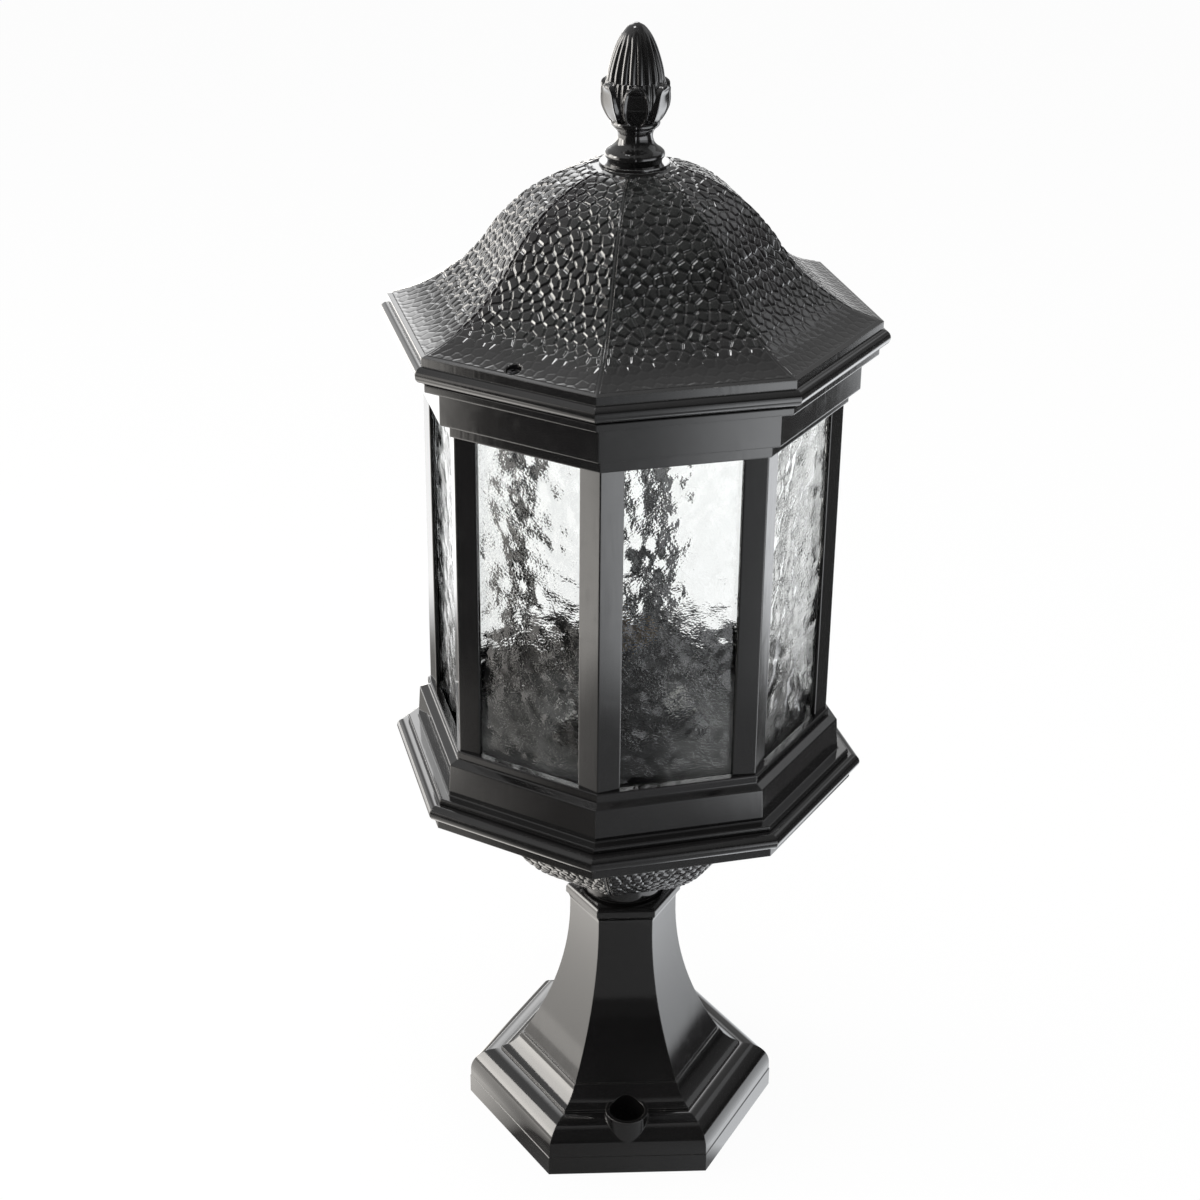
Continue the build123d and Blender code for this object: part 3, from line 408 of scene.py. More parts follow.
@dataclass(frozen=True)
class Moulded(Finish):
    """Moulded or painted surface: grain, clouded colour and rubbed edges."""

    colour: Colour = (0.03, 0.028, 0.027)
    rubbed: Colour = (0.09, 0.085, 0.08)
    roughness: float = 0.3
    grain: float = 0.6 * MM
    depth: float = 0.004 * MM
    specular: float = 0.5
    edge: float = 0.35 * MM
    cloud_size: float = 9 * MM

    def write(self, graph: Graph) -> None:
        """Write the surface's nodes.

        Args:
            graph: The material's tree.
        """
        here = graph.place()
        rounded = graph.softened(self.edge)
        cloud = graph.noise(here, self.cloud_size, 4.0, 0.6)
        rub = graph.edges(rounded).between(0.02, 0.1) * cloud.between(0.45, 0.6)
        clouded = graph.mix(cloud.between(0.35, 0.7), self.colour, tone(self.colour, 0.8))
        height = graph.noise(here, self.grain, 3.0, 0.6) * self.depth
        graph.finish({
            "Base Color": graph.mix(rub, clouded, self.rubbed),
            "Roughness": self.roughness + 0.15 * cloud.between(0.4, 0.8),
            "Specular IOR Level": self.specular, "Normal": graph.bump(height, rounded)})


@dataclass(frozen=True)
class Insulation(Finish):
    """Wire insulation, plain or with a second colour in stripes."""

    colour: Colour = (0.2, 0.09, 0.04)
    stripe: Optional[Colour] = None
    stripe_pitch: float = 2.6 * MM
    cloud_size: float = 3 * MM
    grain: float = 0.8 * MM
    depth: float = 0.006 * MM

    def write(self, graph: Graph) -> None:
        """Write the insulation's nodes.

        Args:
            graph: The material's tree.
        """
        here = graph.place()
        cloud = graph.noise(here, self.cloud_size, 3.0)
        base = graph.mix(cloud, self.colour, tone(self.colour, 0.75))
        if self.stripe is not None:
            x, _, z = graph.axes(here)
            wave = ((x + z) * (TURN / self.stripe_pitch)).sine()
            base = graph.mix(wave.between(-0.15, 0.15), base, self.stripe)
        height = graph.noise(here, self.grain) * self.depth
        graph.finish({"Base Color": base, "Roughness": 0.42 + 0.15 * cloud, "Normal": graph.bump(height)})


@dataclass
class Skin:
    """Points and faces of one piece, gathered before they go into a mesh. Sizes are in millimetres."""

    points: list[np.ndarray] = field(default_factory=list)
    corners: list[np.ndarray] = field(default_factory=list)
    counts: list[np.ndarray] = field(default_factory=list)
    total: int = 0

    def add(self, points: np.ndarray) -> np.ndarray:
        """Add a grid of points.

        Args:
            points: An array whose last axis is x, y, z.

        Returns:
            The points' numbers, in the grid's shape.
        """
        flat = points.reshape(-1, 3)
        numbers = self.total + np.arange(len(flat)).reshape(points.shape[:-1])
        self.points.append(flat)
        self.total += len(flat)
        return numbers

    def faces(self, corners: np.ndarray, flip: bool = False) -> None:
        """Add faces, one for each row of corner numbers, turned round by flip."""
        self.corners.append((corners[:, ::-1] if flip else corners).ravel())
        self.counts.append(np.full(len(corners), corners.shape[1]))

    def polygon(self, numbers: np.ndarray, flip: bool = False) -> None:
        """Add one face of many corners."""
        self.faces(numbers[None], flip)

    def quads(self, grid: np.ndarray, flip: bool = False, keep: Optional[np.ndarray] = None) -> None:
        """Face a grid of numbers; a face's side is the columns' run crossed with the rows', turned by flip.

        Args:
            grid: Point numbers in rows and columns.
            flip: Turn the faces round.
            keep: A mask of the faces that are made.
        """
        faces = np.stack([grid[:-1, :-1], grid[:-1, 1:], grid[1:, 1:], grid[1:, :-1]], axis=-1)
        self.faces(faces.reshape(-1, 4) if keep is None else faces[keep], flip)

    def mesh(self, name: str) -> bpy.types.Object:
        """Put everything into a new smooth object.

        Args:
            name: The object's name.

        Returns:
            The object, linked to the scene.
        """
        points = np.concatenate(self.points) * MM
        corners = np.concatenate(self.corners).astype(np.int32)
        counts = np.concatenate(self.counts)
        starts = np.concatenate([[0], np.cumsum(counts)[:-1]]).astype(np.int32)
        made = bpy.data.meshes.new(name)
        made.vertices.add(len(points))
        made.vertices.foreach_set("co", points.astype(np.float32).ravel())
        made.loops.add(len(corners))
        made.loops.foreach_set("vertex_index", corners)
        made.polygons.add(len(counts))
        made.polygons.foreach_set("loop_start", starts)
        made.polygons.foreach_set("use_smooth", np.ones(len(counts), dtype=bool))
        made.update(calc_edges=True)
        made.validate()
        item = bpy.data.objects.new(name, made)
        bpy.context.scene.collection.objects.link(item)
        return item


def dress(item: bpy.types.Object, finish: Finish) -> None:
    """Give an object one finish, whose material is made at its first use.

    Args:
        item: The object.
        finish: The finish.
    """
    material = bpy.data.materials.get(finish.name) or finish.material()
    item.data.materials.clear()
    item.data.materials.append(material)


def settle(item: bpy.types.Object, finish: Finish, body: Body, slot: Slot, *nodes: str) -> None:
    """Dress a new piece and say what it rides on and which nodes it stands for.

    Args:
        item: The piece.
        finish: Its finish.
        body: The body that it moves with.
        slot: The record's slot; not used.
        nodes: The CAD nodes that it replaces.
    """
    dress(item, finish)
    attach(item, body.value)
    if nodes:
        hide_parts(*nodes)
    LOG.info("%s: %d faces on %s", item.name, len(item.data.polygons), body.value)


def stand(item: bpy.types.Object, *columns: np.ndarray) -> None:
    """Link a light or camera to the scene, with its x, y and z axes and its place as columns."""
    bpy.context.scene.collection.objects.link(item)
    item.matrix_world = Matrix([*np.column_stack(columns).tolist(), [0, 0, 0, 1]])


def on_flat(number: int, apothem: Any, across: Any, height: Any) -> np.ndarray:
    """Points of one of the lantern's flats: a (cos t, sin t, 0) + x (-sin t, cos t, 0) + z (0, 0, 1).

    Args:
        number: The flat, counted from 0, which faces the bearing t.
        apothem: Distances a out from the axis.
        across: Distances x along the flat.
        height: Heights z.

    Returns:
        The points, with x, y, z as last axis.
    """
    turn = HEAD_TURN + TURN * number / SIDES
    a, x, z = np.broadcast_arrays(apothem, across, height)
    cosine, sine = math.cos(turn), math.sin(turn)
    return np.stack([a * cosine - x * sine, a * sine + x * cosine, z], axis=-1)


def bearings(count: int) -> np.ndarray:
    """Evenly spaced angles round a full turn."""
    return np.linspace(0, TURN, count, endpoint=False)


def lathe(name: str, radius: np.ndarray, turn: np.ndarray, height: np.ndarray,
          flip: bool = False, ring: bool = False) -> bpy.types.Object:
    """Make a piece whose points (r cos a, r sin a, z) close round their columns.

    Args:
        name: The piece's name.
        radius: Radii r.
        turn: Angles a.
        height: Heights z.
        flip: Turn the faces round.
        ring: Join the last row to the first instead of capping both.

    Returns:
        The piece.
    """
    skin = Skin()
    grid = np.broadcast_arrays(radius * np.cos(turn), radius * np.sin(turn), height)
    rows = skin.add(np.stack(grid, axis=-1))
    if ring:
        rows = np.concatenate([rows, rows[:1]])
    skin.quads(np.concatenate([rows, rows[:, :1]], axis=1), flip)
    if not ring:
        skin.polygon(rows[0], not flip)
        skin.polygon(rows[-1], flip)
    return skin.mesh(name)


def held(value: np.ndarray) -> np.ndarray:
    """A value held between 0 and 1."""
    return np.clip(value, 0, 1)


def ease(value: np.ndarray) -> np.ndarray:
    """Smooth step 3 t2 - 2 t3 of a value held between 0 and 1."""
    t = held(value)
    return t * t * (3 - 2 * t)


def bell(value: np.ndarray, middle: float, width: float) -> np.ndarray:
    """A bell exp(-d2), with d the distance from its middle in widths."""
    return np.exp(-(((value - middle) / width) ** 2))


def mound(value: np.ndarray, middle: float, reach: float) -> np.ndarray:
    """A mound 1 - d2 held between 0 and 1, with d the distance from its middle in reaches."""
    return held(1 - ((value - middle) / reach) ** 2)


def smooth_line(points: Sequence[Point], count: int) -> tuple[np.ndarray, np.ndarray]:
    """A smooth line: cubic Hermite pieces whose tangents are the mean of the neighbouring chords.

    Args:
        points: Radius and height of the points that it goes through.
        count: How many points are returned, evenly in the line's own parameter.

    Returns:
        The line's radii and its heights, each as one column.
    """
    knots = np.array(points, dtype=float)
    chords = np.diff(knots, axis=0)
    tangents = np.concatenate([chords[:1], 0.5 * (chords[1:] + chords[:-1]), chords[-1:]])
    place = np.linspace(0, len(knots) - 1, count)
    index = np.minimum(place.astype(int), len(knots) - 2)
    t = (place - index)[:, None]
    line = ((2 * t**3 - 3 * t**2 + 1) * knots[index] + (t**3 - 2 * t**2 + t) * tangents[index]
            + (3 * t**2 - 2 * t**3) * knots[index + 1] + (t**3 - t**2) * tangents[index + 1])
    return line[:, :1], line[:, 1:]


@dataclass(frozen=True)
class Swell:
    """Random smooth swells whose wavelengths lie between two sizes."""

    sizes: Point
    count: int
    seed: int
    share: float

    def at(self, across: np.ndarray, along: np.ndarray, number: int) -> np.ndarray:
        """Heights share * sqrt(2 / n) * sum of n cosines of (k . p + phase).

        Args:
            across: First coordinate.
            along: Second coordinate.
            number: Added to the seed of the cosines' directions and phases.

        Returns:
            Heights whose root mean square is the share.
        """
        lot = np.random.default_rng(self.seed + number)
        turn = lot.uniform(0, TURN, self.count)
        wave = TURN / lot.uniform(*self.sizes, self.count)
        phase = lot.uniform(0, TURN, self.count)
        first = np.multiply.outer(across, wave * np.cos(turn))
        angle = first + np.multiply.outer(along, wave * np.sin(turn)) + phase
        return self.share * (np.cos(angle).sum(-1) * math.sqrt(2 / self.count))


@dataclass(frozen=True)
class Arc:
    """A circular arc in (apothem, height) that leaves its start in a given direction."""

    start: Point
    end: Point
    leave: Point

    def _shape(self) -> tuple[np.ndarray, np.ndarray, float, float]:
        """The arc's measures for its chord c.

        Returns:
            Leaving direction d, its left normal n, signed radius |c|2 / 2 n.c and angle 2 atan2(n.c, d.c).
        """
        leave = np.array(self.leave)
        left = np.array([-leave[1], leave[0]])
        chord = np.array(self.end) - np.array(self.start)
        radius = float(chord @ chord / (2 * left @ chord))
        return leave, left, radius, 2 * math.atan2(left @ chord, leave @ chord)

    def length(self) -> float:
        """Length of the arc."""
        _, _, radius, angle = self._shape()
        return radius * angle

    def at(self, run: np.ndarray) -> tuple[np.ndarray, np.ndarray]:
        """Points start + R (d sin t + n (1 - cos t)) and directions d cos t + n sin t, with t = run / R.

        Args:
            run: Distances along the arc.

        Returns:
            Points and unit directions, with a last axis of two.
        """
        leave, left, radius, _ = self._shape()
        turn = np.asarray(run)[..., None] / radius
        points = np.array(self.start) + radius * (leave * np.sin(turn) + left * (1 - np.cos(turn)))
        return points, leave * np.cos(turn) + left * np.sin(turn)


@dataclass(frozen=True)
class Ogee:
    """Two tangent arcs from an eave in to a crown."""

    eave: Point
    slope: Point
    waist: Point
    crown: Point

    def arcs(self) -> tuple[Arc, Arc]:
        """The lower and the upper arc.

        Returns:
            Both arcs, the second leaving where and as the first ends.
        """
        lower = Arc(self.eave, self.waist, self.slope)
        _, way = lower.at(np.array(lower.length()))
        return lower, Arc(self.waist, self.crown, (float(way[0]), float(way[1])))

    def at(self, run: np.ndarray) -> tuple[np.ndarray, np.ndarray]:
        """Points and directions at distances from the eave.

        Args:
            run: The distances.

        Returns:
            Points and unit directions, with a last axis of two.
        """
        lower, upper = self.arcs()
        first = lower.at(run)
        second = upper.at(run - lower.length())
        past = (np.asarray(run) > lower.length())[..., None]
        return np.where(past, second[0], first[0]), np.where(past, second[1], first[1])

    def length(self) -> float:
        """Length of both arcs."""
        return sum(arc.length() for arc in self.arcs())


@dataclass(frozen=True)
class Pads:
    """Hammered relief: raised pads that fill a sheet like pebbles, with bevelled grooves between them."""

    pitch: float = 4.8
    jitter: float = 0.28
    height: float = 0.65
    lowest: float = 0.75
    bevel: float = 0.7
    groove: float = 0.1
    dome: float = 0.08
    lean: float = 0.025
    reach: int = 2

    def relief(self, across: np.ndarray, along: np.ndarray, seed: int) -> np.ndarray:
        """Height of the pads.

        The pads are the cells nearest to the sites of a shaken hexagonal grid. With d the distance to the
        cell's border and t = clip((d - groove) / bevel, 0, 1), the height is 1.25 t - 0.25 t3 of the pad's
        own height, with a slight dome added and the top leaning a little its own way.

        Args:
            across: Distances across the flat.
            along: Distances along its run.
            seed: Seed of the sites.

        Returns:
            The heights.
        """
        lot = np.random.default_rng(seed)
        step = np.array([self.pitch, self.pitch * math.sqrt(0.75)])
        spare = 2 * self.reach * step
        low = np.array([across.min(), along.min()]) - spare
        high = np.array([across.max(), along.max()]) + spare
        columns, rows = np.ceil((high - low) / step).astype(int) + 1
        shake = lot.uniform(-self.jitter, self.jitter, (rows, columns, 2)) * self.pitch
        tall = lot.uniform(self.lowest, 1.0, (rows, columns))
        slopes = lot.uniform(-self.lean, self.lean, (rows, columns, 2))
        row, column = np.meshgrid(np.arange(rows), np.arange(columns), indexing="ij")
        sites = np.stack([column + 0.5 * (row % 2), row], axis=-1) * step + low + shake
        here = np.stack([across, along], axis=-1)
        cell = np.rint((here - low) / step).astype(int)
        span = range(-self.reach, self.reach + 1)
        near = [(cell[..., 1] + i, cell[..., 0] + j) for i in span for j in span]
        best = np.full(across.shape, np.inf)
        home = np.zeros(here.shape)
        lift = np.zeros(across.shape)
        slope = np.zeros(here.shape)
        for spot in near:
            gap = ((here - sites[spot]) ** 2).sum(-1)
            nearer = gap < best
            best = np.where(nearer, gap, best)
            home = np.where(nearer[..., None], sites[spot], home)
            lift = np.where(nearer, tall[spot], lift)
            slope = np.where(nearer[..., None], slopes[spot], slope)
        border = np.full(across.shape, np.inf)
        for spot in near:
            apart = np.sqrt(((sites[spot] - home) ** 2).sum(-1))
            gap = ((here - sites[spot]) ** 2).sum(-1)
            cut = (gap - best) / np.maximum(2 * apart, TINY)
            border = np.where(apart > TINY, np.minimum(border, cut), border)
        rise = held((border - self.groove) / self.bevel)
        top = self.height * lift + (slope * (here - home)).sum(-1)
        return top * (1.25 * rise - 0.25 * rise**3) + self.dome * held(border / (0.5 * self.pitch))


@dataclass(frozen=True)
class HammeredFacets:
    """Eight hammered panels that lie on the facets of the roof (outside 1) or of the bowl (outside -1).

    They start and stop short of the eave and the crown, leave a strip free along the hips, stand on the
    casting by their seat and sink their borders into it. Their relief fades towards the eave.
    """

    name: str
    body: Body
    ogee: Ogee
    outside: int
    rows: int
    columns: int
    pads: Pads
    seed: int
    stop: float
    start: float = 1.5
    strip: float = 0.6
    seat: float = 0.06
    sink: float = 0.25
    bed: float = 0.3
    eave_fade: Point = (9.0, 29.0)
    eave_share: float = 0.13
    well_flats: tuple[int, ...] = ()
    well_apothem: float = 91.2
    well_radius: float = 3.15

    def surface(self, number: int) -> tuple[np.ndarray, np.ndarray, np.ndarray]:
        """One panel's points: the facet's point (apothem, x, z) plus its normal times the relief.

        Args:
            number: The flat.

        Returns:
            Top points, their bed under the casting's skin, and plan distance from the screw well.
        """
        run = np.linspace(self.start, self.ogee.length() - self.stop, self.rows)
        points, way = self.ogee.at(run)
        apothem, z = points[:, :1], points[:, 1:]
        x = (apothem * HALF_SIDE - self.strip) * np.linspace(-1, 1, self.columns)
        along = np.repeat(run[:, None], self.columns, 1)
        fade = ease((along - self.eave_fade[0]) / (self.eave_fade[1] - self.eave_fade[0]))
        share = self.eave_share + (1 - self.eave_share) * fade
        height = self.seat + share * self.pads.relief(x, along, self.seed + number)
        height[[0, -1]] = -self.sink
        height[:, [0, -1]] = -self.sink
        base = on_flat(number, apothem, x, z)
        normal = on_flat(number, self.outside * way[:, 1:], 0.0, -self.outside * way[:, :1])
        away = np.hypot(apothem - self.well_apothem, x)
        return base + normal * height[..., None], base - normal * self.bed, away

    def panel(self, number: int) -> bpy.types.Object:
        """Build one closed panel; its underside is one strip, or a full bed where a screw well pierces it.

        Args:
            number: The flat.

        Returns:
            The panel.
        """
        skin = Skin()
        top, bed, away = self.surface(number)
        flip = self.outside < 0
        if number in self.well_flats:
            self._pierced(skin, top, bed, away, flip)
        else:
            numbers = skin.add(top)
            skin.quads(numbers, flip)
            skin.quads(numbers[:, [0, -1]], not flip)
            skin.polygon(numbers[0], not flip)
            skin.polygon(numbers[-1], flip)
        return skin.mesh(f"{self.name}_{number + 1}")

    def _pierced(self, skin: Skin, top: np.ndarray, bed: np.ndarray, away: np.ndarray, flip: bool) -> None:
        """Fill a skin with a panel that has a round hole: top, bed and a wall along every open edge.

        Args:
            skin: The skin to fill.
            top: Points of the upper side.
            bed: Points of the lower side.
            away: Plan distance of each point from the hole's axis.
            flip: Whether the upper faces are turned.
        """
        near = np.minimum.reduce([away[:-1, :-1], away[:-1, 1:], away[1:, 1:], away[1:, :-1]])
        keep = near > self.well_radius
        upper = skin.add(top)
        lower = skin.add(bed)
        skin.quads(upper, flip, keep)
        skin.quads(lower, not flip, keep)
        padded = np.pad(keep, 1)
        # Each side of a face: the axis and step to its neighbour, and its two corners' rows and columns.
        for axis, step, start, end in (
                (0, -1, (0, 0), (0, 1)), (0, 1, (1, 1), (1, 0)),
                (1, -1, (1, 0), (0, 0)), (1, 1, (0, 1), (1, 1))):
            row, column = np.nonzero(keep & ~np.roll(padded, -step, axis)[1:-1, 1:-1])
            first, last = ((row + down, column + right) for down, right in (start, end))
            skin.faces(np.stack([upper[last], upper[first], lower[first], lower[last]], axis=-1), flip)

    def build(self, finish: Finish) -> None:
        """Build all panels in a finish."""
        for number in range(SIDES):
            settle(self.panel(number), finish, self.body, Slot.ENAMEL)


ROOF_HAMMERING = HammeredFacets(
    "roof_hammering", Body.ROOF,
    Ogee(eave=(96.0, 402.5), slope=(-math.cos(EAVE_SLOPE), math.sin(EAVE_SLOPE)),
         waist=(55.4, 433.0), crown=(13.9, 463.0)),
    outside=1, rows=235, columns=200, pads=Pads(), seed=60, stop=2.6, well_flats=(1, 5))
BOWL_HAMMERING = HammeredFacets(
    "bowl_hammering", Body.LANTERN,
    Ogee(eave=(94.0, 186.5), slope=(-math.cos(EAVE_SLOPE), -math.sin(EAVE_SLOPE)),
         waist=(54.0, 157.0), crown=(19.5, 129.0)),
    outside=-1, rows=150, columns=118, pads=Pads(pitch=4.3), seed=40, stop=2.5)


@dataclass(frozen=True)
class RippledPanes:
    """Eight panes of water glass: rippled outside, flat inside."""

    outer: float = 80.0
    inner: float = 77.0
    width: float = 54.99
    foot: float = 214.0
    head: float = 371.5
    rows: int = 205
    columns: int = 72
    margin: float = 0.8
    limits: Point = (0.02, 1.8)
    crease: float = math.radians(40)
    swells: tuple[Swell, ...] = (
        Swell(sizes=(18.0, 27.0), count=16, seed=300, share=0.1),
        Swell(sizes=(9.0, 13.0), count=24, seed=350, share=0.1),
        Swell(sizes=(5.0, 7.5), count=30, seed=400, share=0.035))

    def pane(self, number: int) -> bpy.types.Object:
        """One closed pane; its outer face stands at outer - (margin + swells of three sizes).

        Args:
            number: The flat that it glazes.

        Returns:
            The pane.
        """
        half = self.width / 2
        z, x = np.meshgrid(
            np.linspace(self.foot, self.head, self.rows), np.linspace(-half, half, self.columns),
            indexing="ij")
        depth = self.margin + sum(swell.at(x, z, number) for swell in self.swells)
        corners = np.array([(-half, self.foot), (half, self.foot), (half, self.head), (-half, self.head)])
        skin = Skin()
        front = skin.add(on_flat(number, self.outer - np.clip(depth, *self.limits), x, z))
        back = skin.add(on_flat(number, self.inner, corners[:, 0], corners[:, 1]))
        skin.quads(front)
        skin.polygon(back, True)
        rims = (front[0], front[:, -1], front[-1, ::-1], front[::-1, 0])
        for corner, rim in enumerate(rims):
            skin.polygon(np.concatenate([back[[(corner + 1) % 4, corner]], rim]), True)
        item = skin.mesh(f"rippled_pane_{number + 1}")
        item.data.set_sharp_from_angle(angle=self.crease)
        return item

    def build(self, finish: Finish) -> None:
        """Build all panes in a finish."""
        for number in range(SIDES):
            settle(self.pane(number), finish, Body.LANTERN, Slot.GLASS, f"glass_pane_{number + 1}")


@dataclass(frozen=True)
class Finial:
    """The roof's knob: a turned base, a cup of six leaves and a fluted acorn."""

    facing: float = math.radians(-92.5)
    around: int = 280
    base_rows: int = 110
    base_line: tuple[Point, ...] = (
        (11.0, 464.5), (11.2, 465.3), (11.5, 466.1), (12.1, 466.8), (12.3, 467.7), (12.0, 468.7),
        (11.0, 469.7), (9.4, 470.8), (8.1, 472.2), (7.4, 474.0), (7.3, 475.6), (7.7, 477.0), (8.3, 477.9),
        (8.5, 478.5), (9.4, 478.9), (10.0, 479.7), (10.1, 480.5), (9.7, 481.4), (8.8, 482.0), (8.3, 482.2))
    ridge: float = 0.22
    ridge_width: float = 0.28
    cup_rows: int = 90
    cup_line: tuple[Point, ...] = (
        (8.4, 481.2), (9.6, 482.6), (11.0, 485.0), (12.2, 488.0), (12.6, 491.5), (12.3, 495.0), (11.7, 497.6))
    leaves: int = 6
    leaf_width: float = 0.46
    leaf_rise: float = 1.5
    rim_rise: float = 0.75
    dish_depth: float = 0.85
    curl_rise: float = 1.2
    reeds: int = 30
    reed_rise: float = 0.5
    reed_bed: float = 0.4
    acorn_rows: int = 90
    acorn_line: tuple[Point, ...] = (
        (11.4, 494.5), (11.7, 497.0), (11.4, 500.2), (10.8, 503.0), (9.9, 506.2), (8.6, 510.0), (7.1, 513.4),
        (5.3, 516.4), (3.2, 518.7), (0.9, 519.9))
    flutes: int = 20
    flute_depth: float = 1.25
    flute_radius: float = 11.7
    flute_end: float = 517.5
    flute_fade: float = 6.0

    def base(self) -> bpy.types.Object:
        """The turned base, with the casting's parting line as a low ridge down its front and back.

        Returns:
            The base.
        """
        turn = bearings(self.around)
        line, z = smooth_line(self.base_line, self.base_rows)
        off = np.abs((turn - self.facing + math.pi / 2) % math.pi - math.pi / 2)
        ridge = self.ridge * bell(off * line, 0.0, self.ridge_width)
        return lathe("finial_base", line + ridge, turn, z)

    def cup(self) -> bpy.types.Object:
        """The leaf cup: six raised leaves with rolled rims and curled tops over a reeded cup.

        With p the angle from a leaf's middle as a share of the leaf's half width at that height, the leaf
        stands out by a smooth step of 1 - p, its rim by a narrow bell at p = 0.8, and its middle is dished.
        The top of each leaf curls out.

        Returns:
            The cup.
        """
        turn = bearings(2 * self.around)
        line, z = smooth_line(self.cup_line, self.cup_rows)
        share = np.linspace(0, 1, self.cup_rows)[:, None]
        sector = TURN / self.leaves
        local = (turn - self.facing + sector / 2) % sector - sector / 2
        half = sector * self.leaf_width * np.sqrt(np.maximum(mound(share, 0.42, 0.56), 1e-4))
        p = np.abs(local) / half
        leaf = ease((1.0 - p) / 0.28)
        rim = bell(p, 0.8, 0.12) * leaf
        dish = mound(p, 0.0, 0.7) * mound(share, 0.55, 0.4)
        curl = bell(share, 0.88, 0.09) * mound(p, 0.0, 1.05)
        reeds = np.abs(np.cos(0.5 * self.reeds * (turn - self.facing))) * (1 - leaf)
        radius = (line - self.reed_bed + self.leaf_rise * leaf + self.rim_rise * rim - self.dish_depth * dish
                  + self.curl_rise * curl + self.reed_rise * reeds)
        return lathe("finial_cup", radius, turn, z)

    def acorn(self) -> bpy.types.Object:
        """The acorn: round ribs between sharp grooves that fade towards the tip.

        The radius is the turned line's less depth * (1 - |sin(n a / 2)|^0.8), with the depth falling to 0
        at the tip.

        Returns:
            The acorn.
        """
        turn = bearings(2 * self.around)
        line, z = smooth_line(self.acorn_line, self.acorn_rows)
        fade = held(line / self.flute_radius) ** 1.4 * held((self.flute_end - z) / self.flute_fade)
        groove = 1 - np.abs(np.sin(0.5 * self.flutes * (turn - self.facing))) ** 0.8
        return lathe("finial_acorn", line - self.flute_depth * fade * groove, turn, z)

    def build(self, finish: Finish) -> None:
        """Build the finial's three shells in a finish."""
        for item in (self.base(), self.cup(), self.acorn()):
            settle(item, finish, Body.ROOF, Slot.ENAMEL, "finial")


@dataclass(frozen=True)
class Lampholder:
    """The holder's sheet brass shell with its rolled thread, and the spring under the centre contact."""

    floor: float = 222.5
    step: float = 230.5
    wall_foot: float = 230.9
    head: float = 249.5
    sheet: float = 0.3
    wall: float = 13.65
    thread: float = 0.3
    thread_fade: float = 2.0
    pitch: float = 3.62
    around: int = 120
    climbs: int = 90
    coil_radius: float = 2.6
    wire: float = 0.35
    coil_head: float = 227.5
    turns: float = 3.5
    coil_steps: int = 150
    wire_sides: int = 10
    flat_share: float = 0.12

    def shell(self) -> bpy.types.Object:
        """The shell: a closed loop of profile turned about the axis.

        The threaded wall stands at wall + thread cos(2 pi z / pitch - a), the thread faded out near its ends.

        Returns:
            The shell.
        """
        turn = bearings(self.around)
        climb = np.linspace(self.wall_foot, self.head, self.climbs)[:, None]
        foot = np.array([
            (6.1, self.floor), (9.5, self.floor), (10.7, self.floor + 0.3), (11.0, self.floor + 1.5),
            (11.0, self.step - 1.0), (11.4, self.step - 0.3), (13.2, self.step)])
        above, below = climb - self.wall_foot, self.head - climb
        fade = held(above / self.thread_fade) * held(below / self.thread_fade)
        wall = self.wall + self.thread * fade * np.cos(TURN * climb / self.pitch - turn)
        lower = np.repeat(foot[:, :1], self.around, 1)
        radius = np.concatenate([lower, wall + self.sheet, wall[::-1], lower[::-1] - self.sheet])
        z = np.concatenate([foot[:, 1:], climb, climb[::-1], foot[::-1, 1:] + self.sheet])
        return lathe("threaded_shell", radius, turn, z, ring=True)

    def coil(self) -> bpy.types.Object:
        """The spring: a round wire carried along the helix (r cos t, r sin t, z0 + rise t), its ends capped.

        Returns:
            The spring.
        """
        share = np.linspace(0, 1, self.coil_steps)[:, None]
        climb = held((share - self.flat_share) / (1 - 2 * self.flat_share))
        rise = self.floor + self.wire + (self.coil_head - self.floor - 2 * self.wire) * climb
        ring = bearings(self.wire_sides)
        reach = self.coil_radius + self.wire * np.cos(ring)
        turn = TURN * self.turns * share
        return lathe("contact_coil", reach, turn, rise + self.wire * np.sin(ring), flip=True)

    def build(self, brass: Finish, steel: Finish) -> None:
        """Build the shell and the spring.

        Args:
            brass: The shell's finish.
            steel: The spring's finish.
        """
        settle(self.shell(), brass, Body.LANTERN, Slot.BRASS, "screw_shell")
        coil = self.coil()
        settle(coil, steel, Body.LANTERN, Slot.SPRING, "contact_spring")
        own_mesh(coil)


@dataclass(frozen=True)
class Panel:
    """A soft light: its place, what it faces, its size and its radiance."""

    name: str
    place: Triple
    aim: Triple
    size: Point
    radiance: float
    colour: Colour = PLAIN
    glint: bool = True

    def build(self) -> None:
        """Make the area light; a flat light of power P and area A has the radiance P / (pi A)."""
        lamp = bpy.data.lights.new(self.name, "AREA")
        lamp.shape = "RECTANGLE"
        lamp.size, lamp.size_y = self.size
        lamp.energy = self.radiance * math.pi * self.size[0] * self.size[1]
        lamp.color = self.colour
        item = bpy.data.objects.new(self.name, lamp)
        back = np.array(self.place) - np.array(self.aim)
        back /= np.linalg.norm(back)
        right = np.cross((0.0, 0.0, 1.0), back)
        right /= np.linalg.norm(right)
        stand(item, right, np.cross(back, right), back, np.array(self.place))
        item.visible_camera = False
        item.visible_transmission = False
        item.visible_glossy = self.glint


